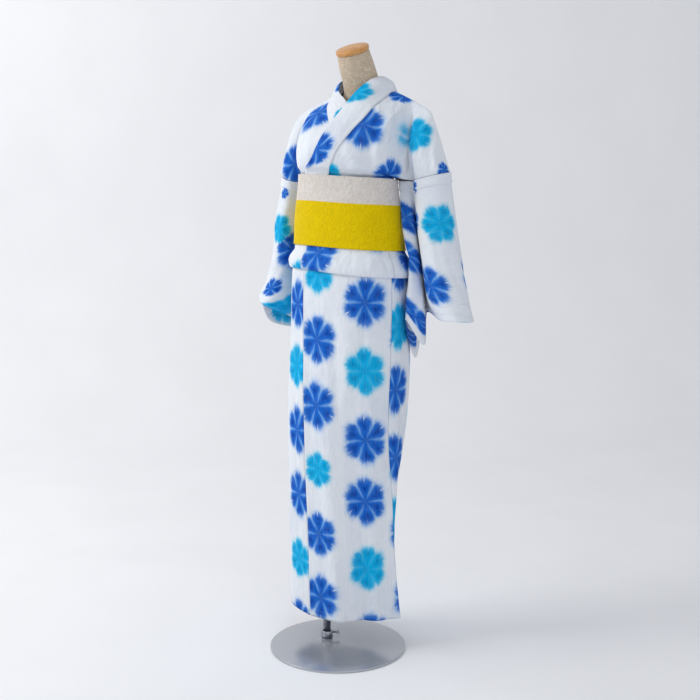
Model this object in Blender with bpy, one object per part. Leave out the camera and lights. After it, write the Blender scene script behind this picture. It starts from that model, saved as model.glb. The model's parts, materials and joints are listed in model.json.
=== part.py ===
"""Cotton yukata robe, tied with a half-width belt, on a limbless dress form.

Metres, +Z up. The robe faces -Y and the wearer's left is +X. The origin is the middle of
the base plate's underside. Every cloth piece is a thin wall through sections or nets of
named points, and each angle runs from the front (0) towards the wearer's left (+90).
"""

import math

import bmesh
import bpy
import numpy as np
from mathutils import Matrix, Vector

# Cloth
CLOTH = 0.0015
COLLAR_CLOTH = 0.0020
BELT_CLOTH = 0.0022
SEAM = 0.0003

# Layers of the skirt: how far each wall's middle lies outside the section
SKIRT_UNDER = -0.0050
SKIRT_OVER = 0.0052
SEAM_OPEN = 0.0004

# Layers at the waist: how far each wall's middle lies outside the form
WAIST_SKIRT_UNDER = 0.0013
WAIST_SKIRT_OVER = 0.0038
WAIST_BODICE_UNDER = 0.0015
WAIST_BODICE_OVER = 0.0041
WAIST_COLLAR_OVER = 0.0070
WAIST_BELT = 0.0098

# Layers on the chest: how far each wall's middle lies in front of the under front
CHEST_FRONT_UNDER = 0.0
CHEST_COLLAR_UNDER = 0.0050
CHEST_FRONT_OVER = 0.0115
CHEST_COLLAR_OVER = 0.0165

# Heights
HEM_Z = 0.077
BODICE_HELD = 0.0060
BODICE_FREE = 0.0175
TUCK_LOW_Z = 0.924
BELT_LOW_Z = 0.984
BELT_TOP_Z = 1.150
OKUMI_LIFT = 0.014

# The belt and the tuck dip towards the wearer's left back
TILT_ANGLE = 117.0
BELT_TILT = 0.007
TUCK_TILT = 0.011

# Base, pole and clamp
BASE_RADIUS = 0.167
BASE_THICK = 0.0055
POLE_X = -0.045
POLE_Y = 0.016
POLE_RADIUS = 0.0095
SOCKET_RADIUS = 0.0140
SOCKET_HIGH = 0.0190
LEVER_RADIUS = 0.0028
LEVER_LONG = 0.0170
LEVER_TURN = 35.0

# Neck cap
CAP_RADIUS = 0.0400
CAP_RIM = 0.0085
CAP_DOME = 0.0060
CAP_TILT = 24.0

# Skirt seams: angle of each at these heights
SEAM_Z = (0.06, 0.27, 0.39, 0.565, 0.80, 1.02)
OKUMI_EDGE = (-86.0, -84.5, -83.5, -82.0, -80.5, -80.0)
OKUMI_SEAM = (-32.5, -28.0, -27.0, -24.0, -31.0, -32.0)
SIDE_SEAM = (90.0, 90.0, 85.0, 77.0, 76.0, 76.0)
BACK_SEAM = (190.0, 190.0, 190.0, 190.0, 190.0, 190.0)
UNDER_SIDE_SEAM = (316.0, 317.0, 318.0, 319.0, 320.0, 320.0)
UNDER_FRONT_EDGE = (436.0, 435.0, 434.0, 432.0, 430.0, 430.0)
UNDER_OKUMI_EDGE = (490.0, 489.0, 488.0, 487.0, 486.0, 486.0)
SINK_START = 250.0
SINK_END = 272.0
LEAST_RADIUS = 0.11
WAIST_RADIUS = 0.13
SKIRT_Z = (0.14, 0.22, 0.31, 0.42, 0.55, 0.69, 0.81, 0.89, 0.935, 0.960, 0.985, 1.020)

# Garment section: centre, half sizes to each side, squareness of three of its quarters
SECTION_COLUMNS = ("z", "cx", "cy", "right", "front", "left", "back",
                   "square_right", "square_left", "square_back")
SECTIONS = (
    (0.05, 0.013, 0.077, 0.174, 0.109, 0.119, 0.052, 3.0, 1.12, 1.15),
    (0.18, 0.009, 0.070, 0.169, 0.108, 0.112, 0.054, 2.8, 1.20, 1.20),
    (0.28, 0.006, 0.065, 0.164, 0.108, 0.110, 0.058, 2.6, 1.30, 1.35),
    (0.39, 0.003, 0.060, 0.159, 0.110, 0.121, 0.070, 2.4, 1.50, 1.60),
    (0.565, 0.000, 0.052, 0.155, 0.115, 0.136, 0.099, 2.2, 1.75, 2.0),
    (0.79, 0.000, 0.052, 0.150, 0.107, 0.145, 0.113, 2.1, 2.0, 2.1),
    (0.93, 0.000, 0.051, 0.146, 0.103, 0.145, 0.108, 2.1, 2.1, 2.1),
    (0.985, 0.000, 0.049, 0.136, 0.094, 0.133, 0.094, 2.1, 2.1, 2.1),
    (1.06, 0.000, 0.043, 0.127, 0.090, 0.127, 0.091, 2.1, 2.1, 2.1),
    (1.15, 0.000, 0.036, 0.111, 0.083, 0.119, 0.086, 2.1, 2.1, 2.1),
    (1.20, 0.000, 0.036, 0.113, 0.086, 0.122, 0.089, 2.1, 2.1, 2.1),
)

# Dress form: height, centre, half width, half depth, lean of the section
FORM_COLUMNS = ("z", "cx", "cy", "wide", "deep", "lean")
FORM_LOW = (
    (0.690, 0.000, 0.050, 0.060, 0.050, 0.0),
    (0.700, 0.000, 0.050, 0.105, 0.078, 0.0),
    (0.740, 0.000, 0.051, 0.129, 0.095, 0.0),
    (0.930, 0.000, 0.051, 0.134, 0.093, 0.0),
)
FORM_HIGH = (
    (1.170, 0.003, 0.036, 0.112, 0.082, 0.0),
    (1.215, 0.003, 0.048, 0.122, 0.084, 0.0),
    (1.255, 0.005, 0.070, 0.130, 0.074, 0.0),
    (1.288, 0.007, 0.090, 0.134, 0.056, 0.0),
    (1.312, 0.008, 0.099, 0.108, 0.046, 0.0),
    (1.333, 0.008, 0.102, 0.072, 0.045, 4.0),
    (1.352, 0.008, 0.101, 0.053, 0.044, 8.0),
    (1.378, 0.005, 0.090, 0.044, 0.042, 14.0),
    (1.408, 0.004, 0.075, 0.042, 0.041, 20.0),
    (1.441, 0.003, 0.060, 0.038, 0.038, 24.0),
)
FORM_WAIST_Z = (0.985, 1.020, 1.060, 1.100, 1.140)
CAP_SEAT = (0.003, 0.060, 1.441)

# Chest and back of the robe: depth Y at each height, by distance from the middle
SLOPE_STEP = 0.004
MOST_SLOPE = 1.9
CHEST_X = (0.0, 0.05, 0.10, 0.13, 0.148, 0.17, 0.205, 0.25)
CHEST_Z = (1.10, 1.15, 1.20, 1.25, 1.30, 1.345, 1.38)
CHEST_Y = (
    (-0.046, -0.040, -0.012, 0.030, 0.080, 0.058, 0.050, 0.072),
    (-0.048, -0.042, -0.014, 0.028, 0.079, 0.057, 0.050, 0.074),
    (-0.056, -0.049, -0.021, 0.017, 0.076, 0.058, 0.052, 0.075),
    (-0.030, -0.025, -0.004, 0.024, 0.074, 0.066, 0.062, 0.079),
    (0.017, 0.020, 0.036, 0.052, 0.073, 0.078, 0.084, 0.088),
    (0.049, 0.064, 0.109, 0.104, 0.098, 0.096, 0.100, 0.100),
    (0.064, 0.096, 0.122, 0.114, 0.106, 0.105, 0.105, 0.105),
)
BACK_Y = (
    (0.136, 0.130, 0.112, 0.100, 0.100, 0.112, 0.122, 0.102),
    (0.142, 0.137, 0.122, 0.112, 0.108, 0.116, 0.124, 0.100),
    (0.156, 0.152, 0.140, 0.132, 0.126, 0.128, 0.129, 0.098),
    (0.170, 0.166, 0.154, 0.148, 0.143, 0.140, 0.126, 0.096),
    (0.181, 0.174, 0.160, 0.148, 0.142, 0.134, 0.118, 0.096),
    (0.183, 0.168, 0.136, 0.126, 0.121, 0.116, 0.108, 0.104),
    (0.176, 0.150, 0.116, 0.112, 0.112, 0.110, 0.108, 0.106),
)

# Shoulder line from the collar to the top of the armhole, as (across, depth, height)
LEFT_SHOULDER = (
    (0.078, 0.113, 1.356),
    (0.100, 0.108, 1.345),
    (0.137, 0.100, 1.329),
    (0.168, 0.092, 1.314),
    (0.199, 0.088, 1.296),
    (0.212, 0.087, 1.272),
    (0.229, 0.086, 1.228),
    (0.240, 0.086, 1.185),
    (0.246, 0.086, 1.163),
)
RIGHT_SHOULDER = (
    (0.070, 0.113, 1.357),
    (0.097, 0.108, 1.345),
    (0.134, 0.100, 1.328),
    (0.162, 0.092, 1.314),
    (0.190, 0.087, 1.288),
    (0.208, 0.086, 1.245),
    (0.217, 0.086, 1.200),
    (0.220, 0.086, 1.175),
    (0.222, 0.086, 1.163),
)
# Bodice: share of the shoulder line above the armpit, and the angles of its edges at the waist
ARMPIT_SHARE = 0.36
OVER_FRONT_ANGLE = -18.0
UNDER_FRONT_ANGLE = -52.0
FRONT_SIDE_ANGLE = 96.0
BACK_EDGE_ANGLE = 179.75
BACK_SIDE_ANGLE = 120.0
# Neckline behind: share of the way down, distance across as a share of the neck, height
BACK_NECK = ((0.0, 1.0, 1.356), (0.05, 0.77, 1.356), (0.12, 0.41, 1.355), (0.20, 0.0, 1.354))

# Collar in front: neck edge and body edge, as (across, height); depth follows the chest
COLLAR_COLUMNS = ("x_neck", "z_neck", "x_body", "z_body")
OVER_COLLAR = (
    (0.050, 1.378, 0.090, 1.352),
    (0.030, 1.349, 0.0875, 1.335),
    (0.018, 1.322, 0.086, 1.311),
    (0.009, 1.286, 0.079, 1.281),
    (0.003, 1.262, 0.067, 1.255),
    (-0.004, 1.239, 0.055, 1.230),
    (-0.011, 1.216, 0.044, 1.208),
    (-0.022, 1.192, 0.035, 1.188),
    (-0.042, 1.173, 0.026, 1.173),
    (-0.069, 1.160, 0.016, 1.157),
    (-0.080, 1.135, 0.010, 1.135),
)
UNDER_COLLAR = (
    (-0.052, 1.374, -0.090, 1.350),
    (-0.035, 1.352, -0.078, 1.338),
    (0.010, 1.320, -0.054, 1.314),
    (0.021, 1.286, -0.030, 1.288),
    (0.034, 1.262, -0.008, 1.266),
    (0.048, 1.240, 0.012, 1.244),
)
# Collar round the neck: angle, then neck edge and body edge as (radius, height)
NECK_CENTRE = (0.004, 0.098)
NECK_COLLAR = (
    (100.0, 0.056, 1.386, 0.087, 1.3540),
    (125.0, 0.062, 1.390, 0.090, 1.3530),
    (155.0, 0.070, 1.390, 0.090, 1.3500),
    (180.0, 0.073, 1.388, 0.090, 1.3480),
)
COLLAR_ACROSS = 4

# Sleeve loops in plan, round from the outer fold: front, inner fold, hanging edge, back
SLEEVE_COLUMNS = (
    "fold", "front", "front_edge", "valley", "strip_out", "strip_in", "back_in", "back", "back_out",
)
LEFT_SLEEVE = (
    ((250, 88), (226, 57), (186, 50), (163, 79), (143, 78), (127, 80), (130, 114), (170, 146), (222, 128)),
    ((269, 87), (246, 51), (198, 43), (165, 90), (171, 66), (158, 50), (149, 110), (176, 150), (239, 132)),
    ((288, 86), (262, 47), (212, 42), (172, 110), (187, 62), (173, 42), (152, 124), (182, 156), (254, 132)),
    ((304, 83), (280, 43), (228, 46), (170, 124), (200, 58), (171, 36), (146, 126), (176, 160), (272, 130)),
    ((319, 80), (301, 40), (256, 49), (170, 130), (205, 60), (167, 40), (148, 118), (164, 150), (286, 126)),
)
RIGHT_SLEEVE = (
    ((224, 86), (204, 57), (178, 50), (163, 79), (158, 94), (152, 108), (156, 132), (178, 150), (206, 128)),
    ((240, 84), (218, 46), (185, 36), (168, 76), (164, 100), (160, 122), (170, 142), (186, 156), (222, 128)),
    ((252, 82), (226, 42), (192, 33), (172, 80), (166, 106), (164, 128), (176, 148), (192, 162), (234, 128)),
    ((276, 78), (244, 36), (212, 30), (184, 84), (172, 112), (166, 136), (186, 158), (216, 168), (262, 126)),
    ((298, 74), (270, 40), (234, 30), (200, 84), (180, 112), (172, 140), (196, 166), (250, 165), (303, 116)),
)
LEFT_SLEEVE_Z = (
    (1157, 1150, 1141, 1137, 1135, 1132, 1128, 1136, 1152),
    (1040, 1038, 1036, 1036, 1036, 1036, 1036, 1038, 1040),
    (950, 948, 946, 946, 946, 946, 946, 948, 950),
    (870, 868, 868, 868, 856, 862, 858, 870, 868),
    (818, 821, 822, 828, 760, 818, 720, 836, 822),
)
RIGHT_SLEEVE_Z = (
    (1157, 1150, 1142, 1139, 1137, 1133, 1128, 1136, 1152),
    (1060, 1052, 1046, 1044, 1042, 1040, 1040, 1046, 1056),
    (965, 955, 948, 946, 944, 942, 942, 948, 960),
    (896, 880, 868, 862, 856, 852, 850, 856, 880),
    (853, 838, 826, 800, 782, 772, 768, 764, 784),
)

# Steps of the walls
STEP_ANGLE = 7.0
FRONT_SHARES = (0.06, 0.15, 0.26, 0.38, 0.50, 0.62, 0.74, 0.86, 0.945, 1.0)
BACK_SHARES = (0.05, 0.12, 0.20, 0.34, 0.52, 0.72, 0.93, 1.0)
BODICE_LOW_Z = (1.140, 1.085, 1.030)
ARMPIT_COLUMN = 13
SLEEVE_RINGS = 10
SLEEVE_STEPS = 3

COTTON = ("white_cotton", (0.86, 0.89, 0.94, 1.0), 0.85, 0.0)
BELT = ("belt_cloth", (0.80, 0.62, 0.02, 1.0), 0.70, 0.0)
LINEN = ("linen_cover", (0.58, 0.50, 0.40, 1.0), 0.90, 0.0)
WOOD = ("cap_wood", (0.58, 0.30, 0.12, 1.0), 0.45, 0.0)
STEEL = ("brushed_steel", (0.55, 0.57, 0.60, 1.0), 0.35, 1.0)


def clear_scene():
    for item in list(bpy.data.objects):
        bpy.data.objects.remove(item, do_unlink=True)


def material(finish):
    name, colour, roughness, metallic = finish
    made = bpy.data.materials.get(name)
    if made is None:
        made = bpy.data.materials.new(name)
        made.use_nodes = True
        shader = made.node_tree.nodes["Principled BSDF"]
        shader.inputs["Base Color"].default_value = colour
        shader.inputs["Roughness"].default_value = roughness
        shader.inputs["Metallic"].default_value = metallic
    return made


def add_mesh(name, points, faces, finish):
    mesh = bpy.data.meshes.new(name)
    mesh.from_pydata([tuple(point) for point in points], [], faces)
    mesh.materials.append(material(finish))
    mesh.shade_smooth()
    mesh.set_sharp_from_angle(angle=math.radians(40))
    made = bpy.data.objects.new(name, mesh)
    bpy.context.scene.collection.objects.link(made)
    return made


def slopes(knots, values):
    """Catmull-Rom slopes of a row of points over uneven knots."""
    knots = np.asarray(knots, float)
    values = np.asarray(values, float)
    found = np.empty_like(values)
    steps = np.diff(values, axis=0) / np.diff(knots).reshape(-1, *[1] * (values.ndim - 1))
    found[0] = steps[0]
    found[-1] = steps[-1]
    found[1:-1] = (steps[:-1] + steps[1:]) / 2
    return found


def curve(knots, values, at):
    """Smooth value of a table's columns at one place between its rows."""
    knots = np.asarray(knots, float)
    values = np.asarray(values, float)
    place = min(max(at, knots[0]), knots[-1])
    low = min(int(np.searchsorted(knots, place, side="right")) - 1, len(knots) - 2)
    wide = knots[low + 1] - knots[low]
    share = (place - knots[low]) / wide
    tangent = slopes(knots, values) * wide
    square, cube = share**2, share**3
    return (
        (2 * cube - 3 * square + 1) * values[low]
        + (cube - 2 * square + share) * tangent[low]
        + (3 * square - 2 * cube) * values[low + 1]
        + (cube - square) * tangent[low + 1]
    )


def ease(at, start, end):
    share = min(max((at - start) / (end - start), 0.0), 1.0)
    return share * share * (3 - 2 * share)


def mix(first, second, share):
    return first + (second - first) * share


def section_point(angle, z, out):
    """Point of the garment's section at this angle and height, moved out by a distance."""
    row = dict(zip(SECTION_COLUMNS, curve([line[0] for line in SECTIONS], SECTIONS, z)))
    turn = math.radians(angle)
    across, ahead = math.sin(turn), math.cos(turn)
    wide = row["left"] if across >= 0 else row["right"]
    deep = row["front"] if ahead >= 0 else row["back"]
    middle = (row["square_right"] + row["square_left"]) / 2
    if ahead >= 0:
        square = mix(middle, row["square_left"] if across >= 0 else row["square_right"],
                     ease(abs(across), 0.0, 0.35))
    elif across >= 0:
        square = mix(2.1, row["square_back"], ease(across, 0.0, 0.35))
    else:
        square = 2.1
    reach = ((abs(across) / wide) ** square + (abs(ahead) / deep) ** square) ** (-1 / square)
    return Vector((row["cx"] + (reach + out) * across, row["cy"] - (reach + out) * ahead, z))


def dip(angle, depth):
    return -depth * math.cos(math.radians(angle - TILT_ANGLE))


def wall(name, grid, thick, finish, keep=None, ring=False):
    """Closed cloth wall of this thickness round a grid of middle points."""
    rows, columns = len(grid), len(grid[0])
    points = np.array([[tuple(point) for point in row] for row in grid], float)
    quads = []
    for i in range(rows - 1):
        for j in range(columns if ring else columns - 1):
            if keep is None or keep(i, j):
                after = (j + 1) % columns
                quads.append(((i, j), (i, after), (i + 1, after), (i + 1, j)))
    normals = np.zeros_like(points)
    for a, b, c, d in quads:
        facing = np.cross(points[c] - points[a], points[d] - points[b])
        for corner in (a, b, c, d):
            normals[corner] += facing
    used = sorted({corner for quad in quads for corner in quad})
    number = {corner: count for count, corner in enumerate(used)}
    outer, inner = [], []
    for corner in used:
        normal = normals[corner] / np.linalg.norm(normals[corner])
        outer.append(points[corner] + normal * thick / 2)
        inner.append(points[corner] - normal * thick / 2)
    shift = len(used)
    faces = []
    edges = set()
    for quad in quads:
        a, b, c, d = (number[corner] for corner in quad)
        faces += [(a, b, c), (a, c, d)]
        faces += [(a + shift, c + shift, b + shift), (a + shift, d + shift, c + shift)]
        edges |= {(a, b), (b, c), (c, d), (d, a)}
    for a, b in sorted(edges):
        if (b, a) not in edges:
            faces += [(b, a, a + shift), (b, a + shift, b + shift)]
    return add_mesh(name, outer + inner, faces, finish)


def levels(low, high, count):
    return [mix(low, high, step / (count - 1)) for step in range(count)]


def skirt_layer(angle, z):
    """How far the skirt's cloth lies out: it sinks under where the overlap covers it."""
    sunk = ease(angle, SINK_START, SINK_END)
    waist = ease(z, 0.80, 0.93)
    over = mix(SKIRT_OVER, WAIST_SKIRT_OVER, waist)
    under = mix(SKIRT_UNDER, WAIST_SKIRT_UNDER, waist)
    return mix(over, under, sunk)


def skirt_panel(name, start, end, under_lap, lift=0.0):
    """Skirt panel between two seams, from the hem to under the belt."""
    spread = abs(end[0] - start[0])
    columns = max(3, round(spread / STEP_ANGLE) + 1)
    grid = []
    for z in (HEM_Z, *SKIRT_Z):
        gap = math.degrees((SEAM / 2 + SEAM_OPEN * ease(-z, -0.60, -0.40)) / LEAST_RADIUS)
        first = curve(SEAM_Z, start, z) + gap
        last = curve(SEAM_Z, end, z) - gap
        row = []
        for step in range(columns):
            angle = mix(first, last, step / (columns - 1))
            out = skirt_layer(360.0 if under_lap else angle, z)
            share = (angle - last) / (first - last)
            rise = lift * share * (1 - ease(z, HEM_Z, HEM_Z + 0.30))
            row.append(section_point(angle, z + rise, out))
        grid.append(row)
    return wall(name, grid, CLOTH, COTTON)


def add_skirt():
    skirt_panel("skirt_front_left", OKUMI_SEAM, SIDE_SEAM, False)
    skirt_panel("skirt_okumi_left", OKUMI_EDGE, OKUMI_SEAM, False, OKUMI_LIFT)
    skirt_panel("skirt_back_left", SIDE_SEAM, BACK_SEAM, False)
    skirt_panel("skirt_back_right", BACK_SEAM, UNDER_SIDE_SEAM, False)
    skirt_panel("skirt_front_right", UNDER_SIDE_SEAM, UNDER_FRONT_EDGE, True)
    skirt_panel("skirt_okumi_right", UNDER_FRONT_EDGE, UNDER_OKUMI_EDGE, True)


# Tuck below the belt, from under the belt down to the fold and up again: height, distance out
TUCK_PATH = (
    (1.0200, 0.0061),
    (0.9900, 0.0070),
    (0.9760, 0.0072),
    (0.9660, 0.0108),
    (0.9500, 0.0148),
    (0.9340, 0.0150),
    (0.9250, 0.0106),
    (0.9300, 0.0072),
    (0.9460, 0.0063),
)


def add_tuck():
    for name, start, end in (
        ("tuck_okumi", OKUMI_EDGE[-1], OKUMI_SEAM[-1]),
        ("tuck_front", OKUMI_SEAM[-1], SIDE_SEAM[-1]),
        ("tuck_back_left", SIDE_SEAM[-1], BACK_SEAM[-1]),
        ("tuck_back_right", BACK_SEAM[-1], 360.0 + OKUMI_EDGE[-1]),
    ):
        columns = max(3, round((end - start) / STEP_ANGLE) + 1)
        gap = math.degrees(SEAM / 2 / WAIST_RADIUS)
        grid = []
        for z, out in TUCK_PATH:
            low = ease(-z, -0.99, -0.95)
            row = []
            for step in range(columns):
                angle = mix(start + gap, end - gap, step / (columns - 1))
                row.append(section_point(angle, z + low * dip(angle, TUCK_TILT), out))
            grid.append(row)
        wall(name, grid[::-1], CLOTH, COTTON)


def add_belt():
    """Half-width belt wound round the waist, its end lying over its start at the back."""
    start, turn, overlap = 165.0, 360.0, 28.0
    columns = round((turn + overlap) / STEP_ANGLE) + 1
    grid = []
    for z in levels(BELT_LOW_Z, BELT_TOP_Z, 5):
        row = []
        for step in range(columns):
            angle = start + (turn + overlap) * step / (columns - 1)
            rise = (BELT_CLOTH + 0.0007) * ease(angle, start + turn - 25.0, start + turn - 4.0)
            place = z + dip(angle, BELT_TILT)
            row.append(section_point(angle, place, WAIST_BELT + rise))
        grid.append(row)
    wall("belt", grid, BELT_CLOTH, BELT)


def chest_depth(table, across, z):
    rows = [curve(CHEST_X, line, min(abs(across), CHEST_X[-1])) for line in table]
    return curve(CHEST_Z, rows, z)


def chest_slope(table, across, z):
    """Length of the unit normal's depth part, to turn a distance out into a depth."""
    step = SLOPE_STEP
    side = (chest_depth(table, across + step, z) - chest_depth(table, across - step, z)) / (2 * step)
    rise = (chest_depth(table, across, z + step) - chest_depth(table, across, z - step)) / (2 * step)
    return min(math.sqrt(1 + side * side + rise * rise), MOST_SLOPE)


def chest_point(table, across, z, out, facing=-1):
    depth = chest_depth(table, across, z)
    return Vector((across, depth + facing * out * chest_slope(table, across, z), z))


def sleeve_ring(plan, heights, place):
    """Point of a sleeve's loop, the place counting its named points from the outer fold."""
    loop = [(x / 1000, y / 1000, z / 1000) for (x, y), z in zip(plan, heights)]
    knots = list(range(-3, len(loop) + 3))
    return Vector(curve(knots, loop[-3:] + loop + loop[:3], place % len(loop)))


def waist_layer(under, angle):
    """How far a front lies out at the waist: the under one sinks where the over one crosses it."""
    if not under:
        return WAIST_BODICE_OVER
    return mix(WAIST_BODICE_UNDER, WAIST_BODICE_OVER, ease(angle, 24.0, 40.0))


def worn_point(table, facing, across, z, out, waist_out, side=1, belted=1.0):
    """Point of the chest or back, drawn in to the waist section just above the belt's top."""
    free = chest_point(table, across, z, out, facing)
    centre = curve([line[0] for line in SECTIONS], SECTIONS, z)[1:3]
    angle = math.degrees(math.atan2(free.x - centre[0], centre[1] - free.y))
    above = z - BELT_TOP_Z - dip(side * angle, BELT_TILT)
    held = belted * (1 - min(max((above - BODICE_HELD) / (BODICE_FREE - BODICE_HELD), 0.0), 1.0))
    return free.lerp(section_side(side, angle, z, waist_out), held)


def section_side(side, angle, z, out):
    """Section point on the wearer's left or right, both written as if on the left."""
    point = section_point(side * angle, z, out)
    return Vector((side * point.x, point.y, point.z))


def bodice_half(side, facing, shoulder, armhole, edges, out):
    """Rows of one half panel, from the shoulder line down to its end under the belt."""
    table = CHEST_Y if facing < 0 else BACK_Y
    under = facing < 0 and side < 0
    knots = levels(0.0, 1.0, len(shoulder))
    outer_steps = 3 * SLEEVE_STEPS
    tops = [ARMPIT_SHARE * step / ARMPIT_COLUMN for step in range(ARMPIT_COLUMN + 1)]
    tops += [mix(ARMPIT_SHARE, 1.0, step / outer_steps) for step in range(1, outer_steps + 1)]
    rows = [[Vector(curve(knots, shoulder, share)) for share in tops]]
    angles = levels(*edges, ARMPIT_COLUMN)
    lows = []
    for angle in angles:
        z = BELT_TOP_Z + dip(side * angle, BELT_TILT) + BODICE_HELD
        lows.append(section_side(side, angle, z, waist_layer(under, angle)))
    for step in range(outer_steps + 1):
        place = 3 - step / SLEEVE_STEPS if facing < 0 else 6 + step / SLEEVE_STEPS
        lows.append(sleeve_ring(*armhole, place) + Vector((0, 0, 3 * SEAM)))
    for t in FRONT_SHARES if facing < 0 else BACK_SHARES:
        row = []
        for count, (top, low) in enumerate(zip(rows[0], lows)):
            x, z = mix(top.x, low.x, t), mix(top.z, low.z, t)
            if facing > 0:
                times, shares, zs = zip(*BACK_NECK, (1.0, lows[0].x / shoulder[0][0], lows[0].z))
                away = (1 - count / (len(lows) - 1)) ** 3
                share = np.interp(t, times, shares) - mix(shares[0], shares[-1], t)
                x += away * share * shoulder[0][0]
                z += away * (np.interp(t, times, zs) - mix(zs[0], zs[-1], t))
                x = max(x, lows[0].x)
            belted = 1.0 if count < ARMPIT_COLUMN else 0.0
            point = worn_point(table, facing, x, z, out, WAIST_BODICE_OVER, side, belted)
            point.y += (top.y - chest_point(table, top.x, top.z, out, facing).y) * (1 - t) ** 3
            if not belted:
                point.y += (low.y - chest_point(table, low.x, low.z, out, facing).y) * t**3
            if count == len(lows) - 1:
                point.y = mix(top.y, low.y, t) + facing * 0.0006
            row.append(low if t == 1.0 and belted else point)
        rows.append(row)
    for z in BODICE_LOW_Z:
        row = [section_side(side, angle, z, waist_layer(under, angle)) for angle in angles]
        rows.append(row + [row[-1]] * (outer_steps + 1))
    return [[Vector((side * x, y, z)) for x, y, z in row] for row in rows]


def add_body_panel(name, side, shoulder, armhole, front_angle, out):
    """One width of cloth from the waist in front, over the shoulder, to the waist behind."""
    front = bodice_half(side, -1, shoulder, armhole, (front_angle, FRONT_SIDE_ANGLE), out)
    back = bodice_half(side, 1, shoulder, armhole, (BACK_EDGE_ANGLE, BACK_SIDE_ANGLE), 0.0)
    low = len(BODICE_LOW_Z)
    rows = len(front) + len(back) - 1

    def keep(i, j):
        return low <= i < rows - 1 - low or j < ARMPIT_COLUMN - 1

    wall(name, front[::-1] + back[1:], CLOTH, COTTON, keep)


def add_bodice():
    add_body_panel("body_left", 1, LEFT_SHOULDER, (LEFT_SLEEVE[0], LEFT_SLEEVE_Z[0]),
                   OVER_FRONT_ANGLE, CHEST_FRONT_OVER)
    add_body_panel("body_right", -1, RIGHT_SHOULDER, (RIGHT_SLEEVE[0], RIGHT_SLEEVE_Z[0]),
                   UNDER_FRONT_ANGLE, CHEST_FRONT_UNDER)


def add_collar():
    """Collar from its end under the belt, up and round the neck, and down the over front."""
    shares = levels(0.0, 1.0, COLLAR_ACROSS)
    grid = []
    for table, out, waist_out, count in (
        (UNDER_COLLAR[::-1], CHEST_COLLAR_UNDER, WAIST_BODICE_OVER, 11),
        (OVER_COLLAR, CHEST_COLLAR_OVER, WAIST_COLLAR_OVER, 21),
    ):
        part = []
        for step in levels(0.0, 1.0, count):
            line = dict(zip(COLLAR_COLUMNS, curve(levels(0.0, 1.0, len(table)), table, step)))
            row = []
            for share in shares:
                across = mix(line["x_neck"], line["x_body"], share)
                z = mix(line["z_neck"], line["z_body"], share)
                row.append(worn_point(CHEST_Y, -1, across, z, out, waist_out))
            part.append(row)
        grid.append(part)
    ring = [(360.0 - line[0], *line[1:]) for line in NECK_COLLAR] + list(NECK_COLLAR[::-1][1:])
    around = []
    for step in levels(0.0, 1.0, 15):
        angle, r_neck, z_neck, r_body, z_body = curve(levels(0.0, 1.0, len(ring)), ring, step)
        turn = math.radians(angle)
        row = []
        for share in shares:
            radius, z = mix(r_neck, r_body, share), mix(z_neck, z_body, share)
            x = NECK_CENTRE[0] + radius * math.sin(turn)
            row.append(Vector((x, NECK_CENTRE[1] - radius * math.cos(turn), z)))
        around.append(row)
    wall("collar", grid[0] + around + grid[1], COLLAR_CLOTH, COTTON)


def add_sleeve(name, side, plan, heights):
    """Sleeve hanging from the armhole: a tube through loops, with its lower corners hanging."""
    count = len(SLEEVE_COLUMNS) * SLEEVE_STEPS
    around = []
    for loop in zip(plan, heights):
        around.append([sleeve_ring(*loop, step / SLEEVE_STEPS) for step in range(count)])
    grid = []
    for place in levels(0.0, len(plan) - 1.0, SLEEVE_RINGS):
        row = curve(list(range(len(plan))), around, place)
        grid.append([Vector((side * x, y, z)) for x, y, z in row])
    wall(name, grid, CLOTH, COTTON, ring=True)


def tube_through(name, loops, finish):
    """Closed solid through rings of points, with flat ends."""
    count = len(loops[0])
    points = [point for loop in loops for point in loop]
    faces = [tuple(range(count))[::-1]]
    for ring in range(len(loops) - 1):
        for step in range(count):
            a = ring * count + step
            b = ring * count + (step + 1) % count
            faces.append((a, b, b + count, a + count))
    last = (len(loops) - 1) * count
    faces.append(tuple(range(last, last + count)))
    return add_mesh(name, points, faces, finish)


def form_ring(line, count):
    row = dict(zip(FORM_COLUMNS, line))
    lean = math.radians(row["lean"])
    ring = []
    for step in range(count):
        turn = 2 * math.pi * step / count
        ahead = -row["deep"] * math.cos(turn)
        x = row["cx"] + row["wide"] * math.sin(turn)
        y = row["cy"] + ahead * math.cos(lean)
        ring.append(Vector((x, y, row["z"] + ahead * math.sin(lean))))
    return ring


def add_form():
    count = round(360 / STEP_ANGLE)
    rings = [form_ring(row, count) for row in FORM_LOW]
    for z in FORM_WAIST_Z:
        rings.append([section_point(360 * step / count, z, -0.0008) for step in range(count)])
    rings += [form_ring(row, count) for row in FORM_HIGH]
    tube_through("dress_form", rings, LINEN)


def turned(name, profile, count, finish, place):
    """Solid turned about its own Z axis from (radius, height) pairs, then placed."""
    rings = []
    for radius, z in profile:
        ring = []
        for step in range(count):
            turn = 2 * math.pi * step / count
            ring.append(place @ Vector((radius * math.cos(turn), radius * math.sin(turn), z)))
        rings.append(ring)
    return tube_through(name, rings, finish)


def add_neck_cap():
    lean = Matrix.Rotation(math.radians(CAP_TILT), 4, "X")
    seat = Matrix.Translation(Vector(CAP_SEAT)) @ lean @ Matrix.Translation((0, 0, SEAM))
    profile = [(CAP_RADIUS - 0.0020, 0.0), (CAP_RADIUS, 0.0020), (CAP_RADIUS, CAP_RIM)]
    for step in range(1, 5):
        turn = math.radians(18 * step)
        profile.append((CAP_RADIUS * math.cos(turn), CAP_RIM + CAP_DOME * math.sin(turn)))
    turned("neck_cap", profile, 32, WOOD, seat)


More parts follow.
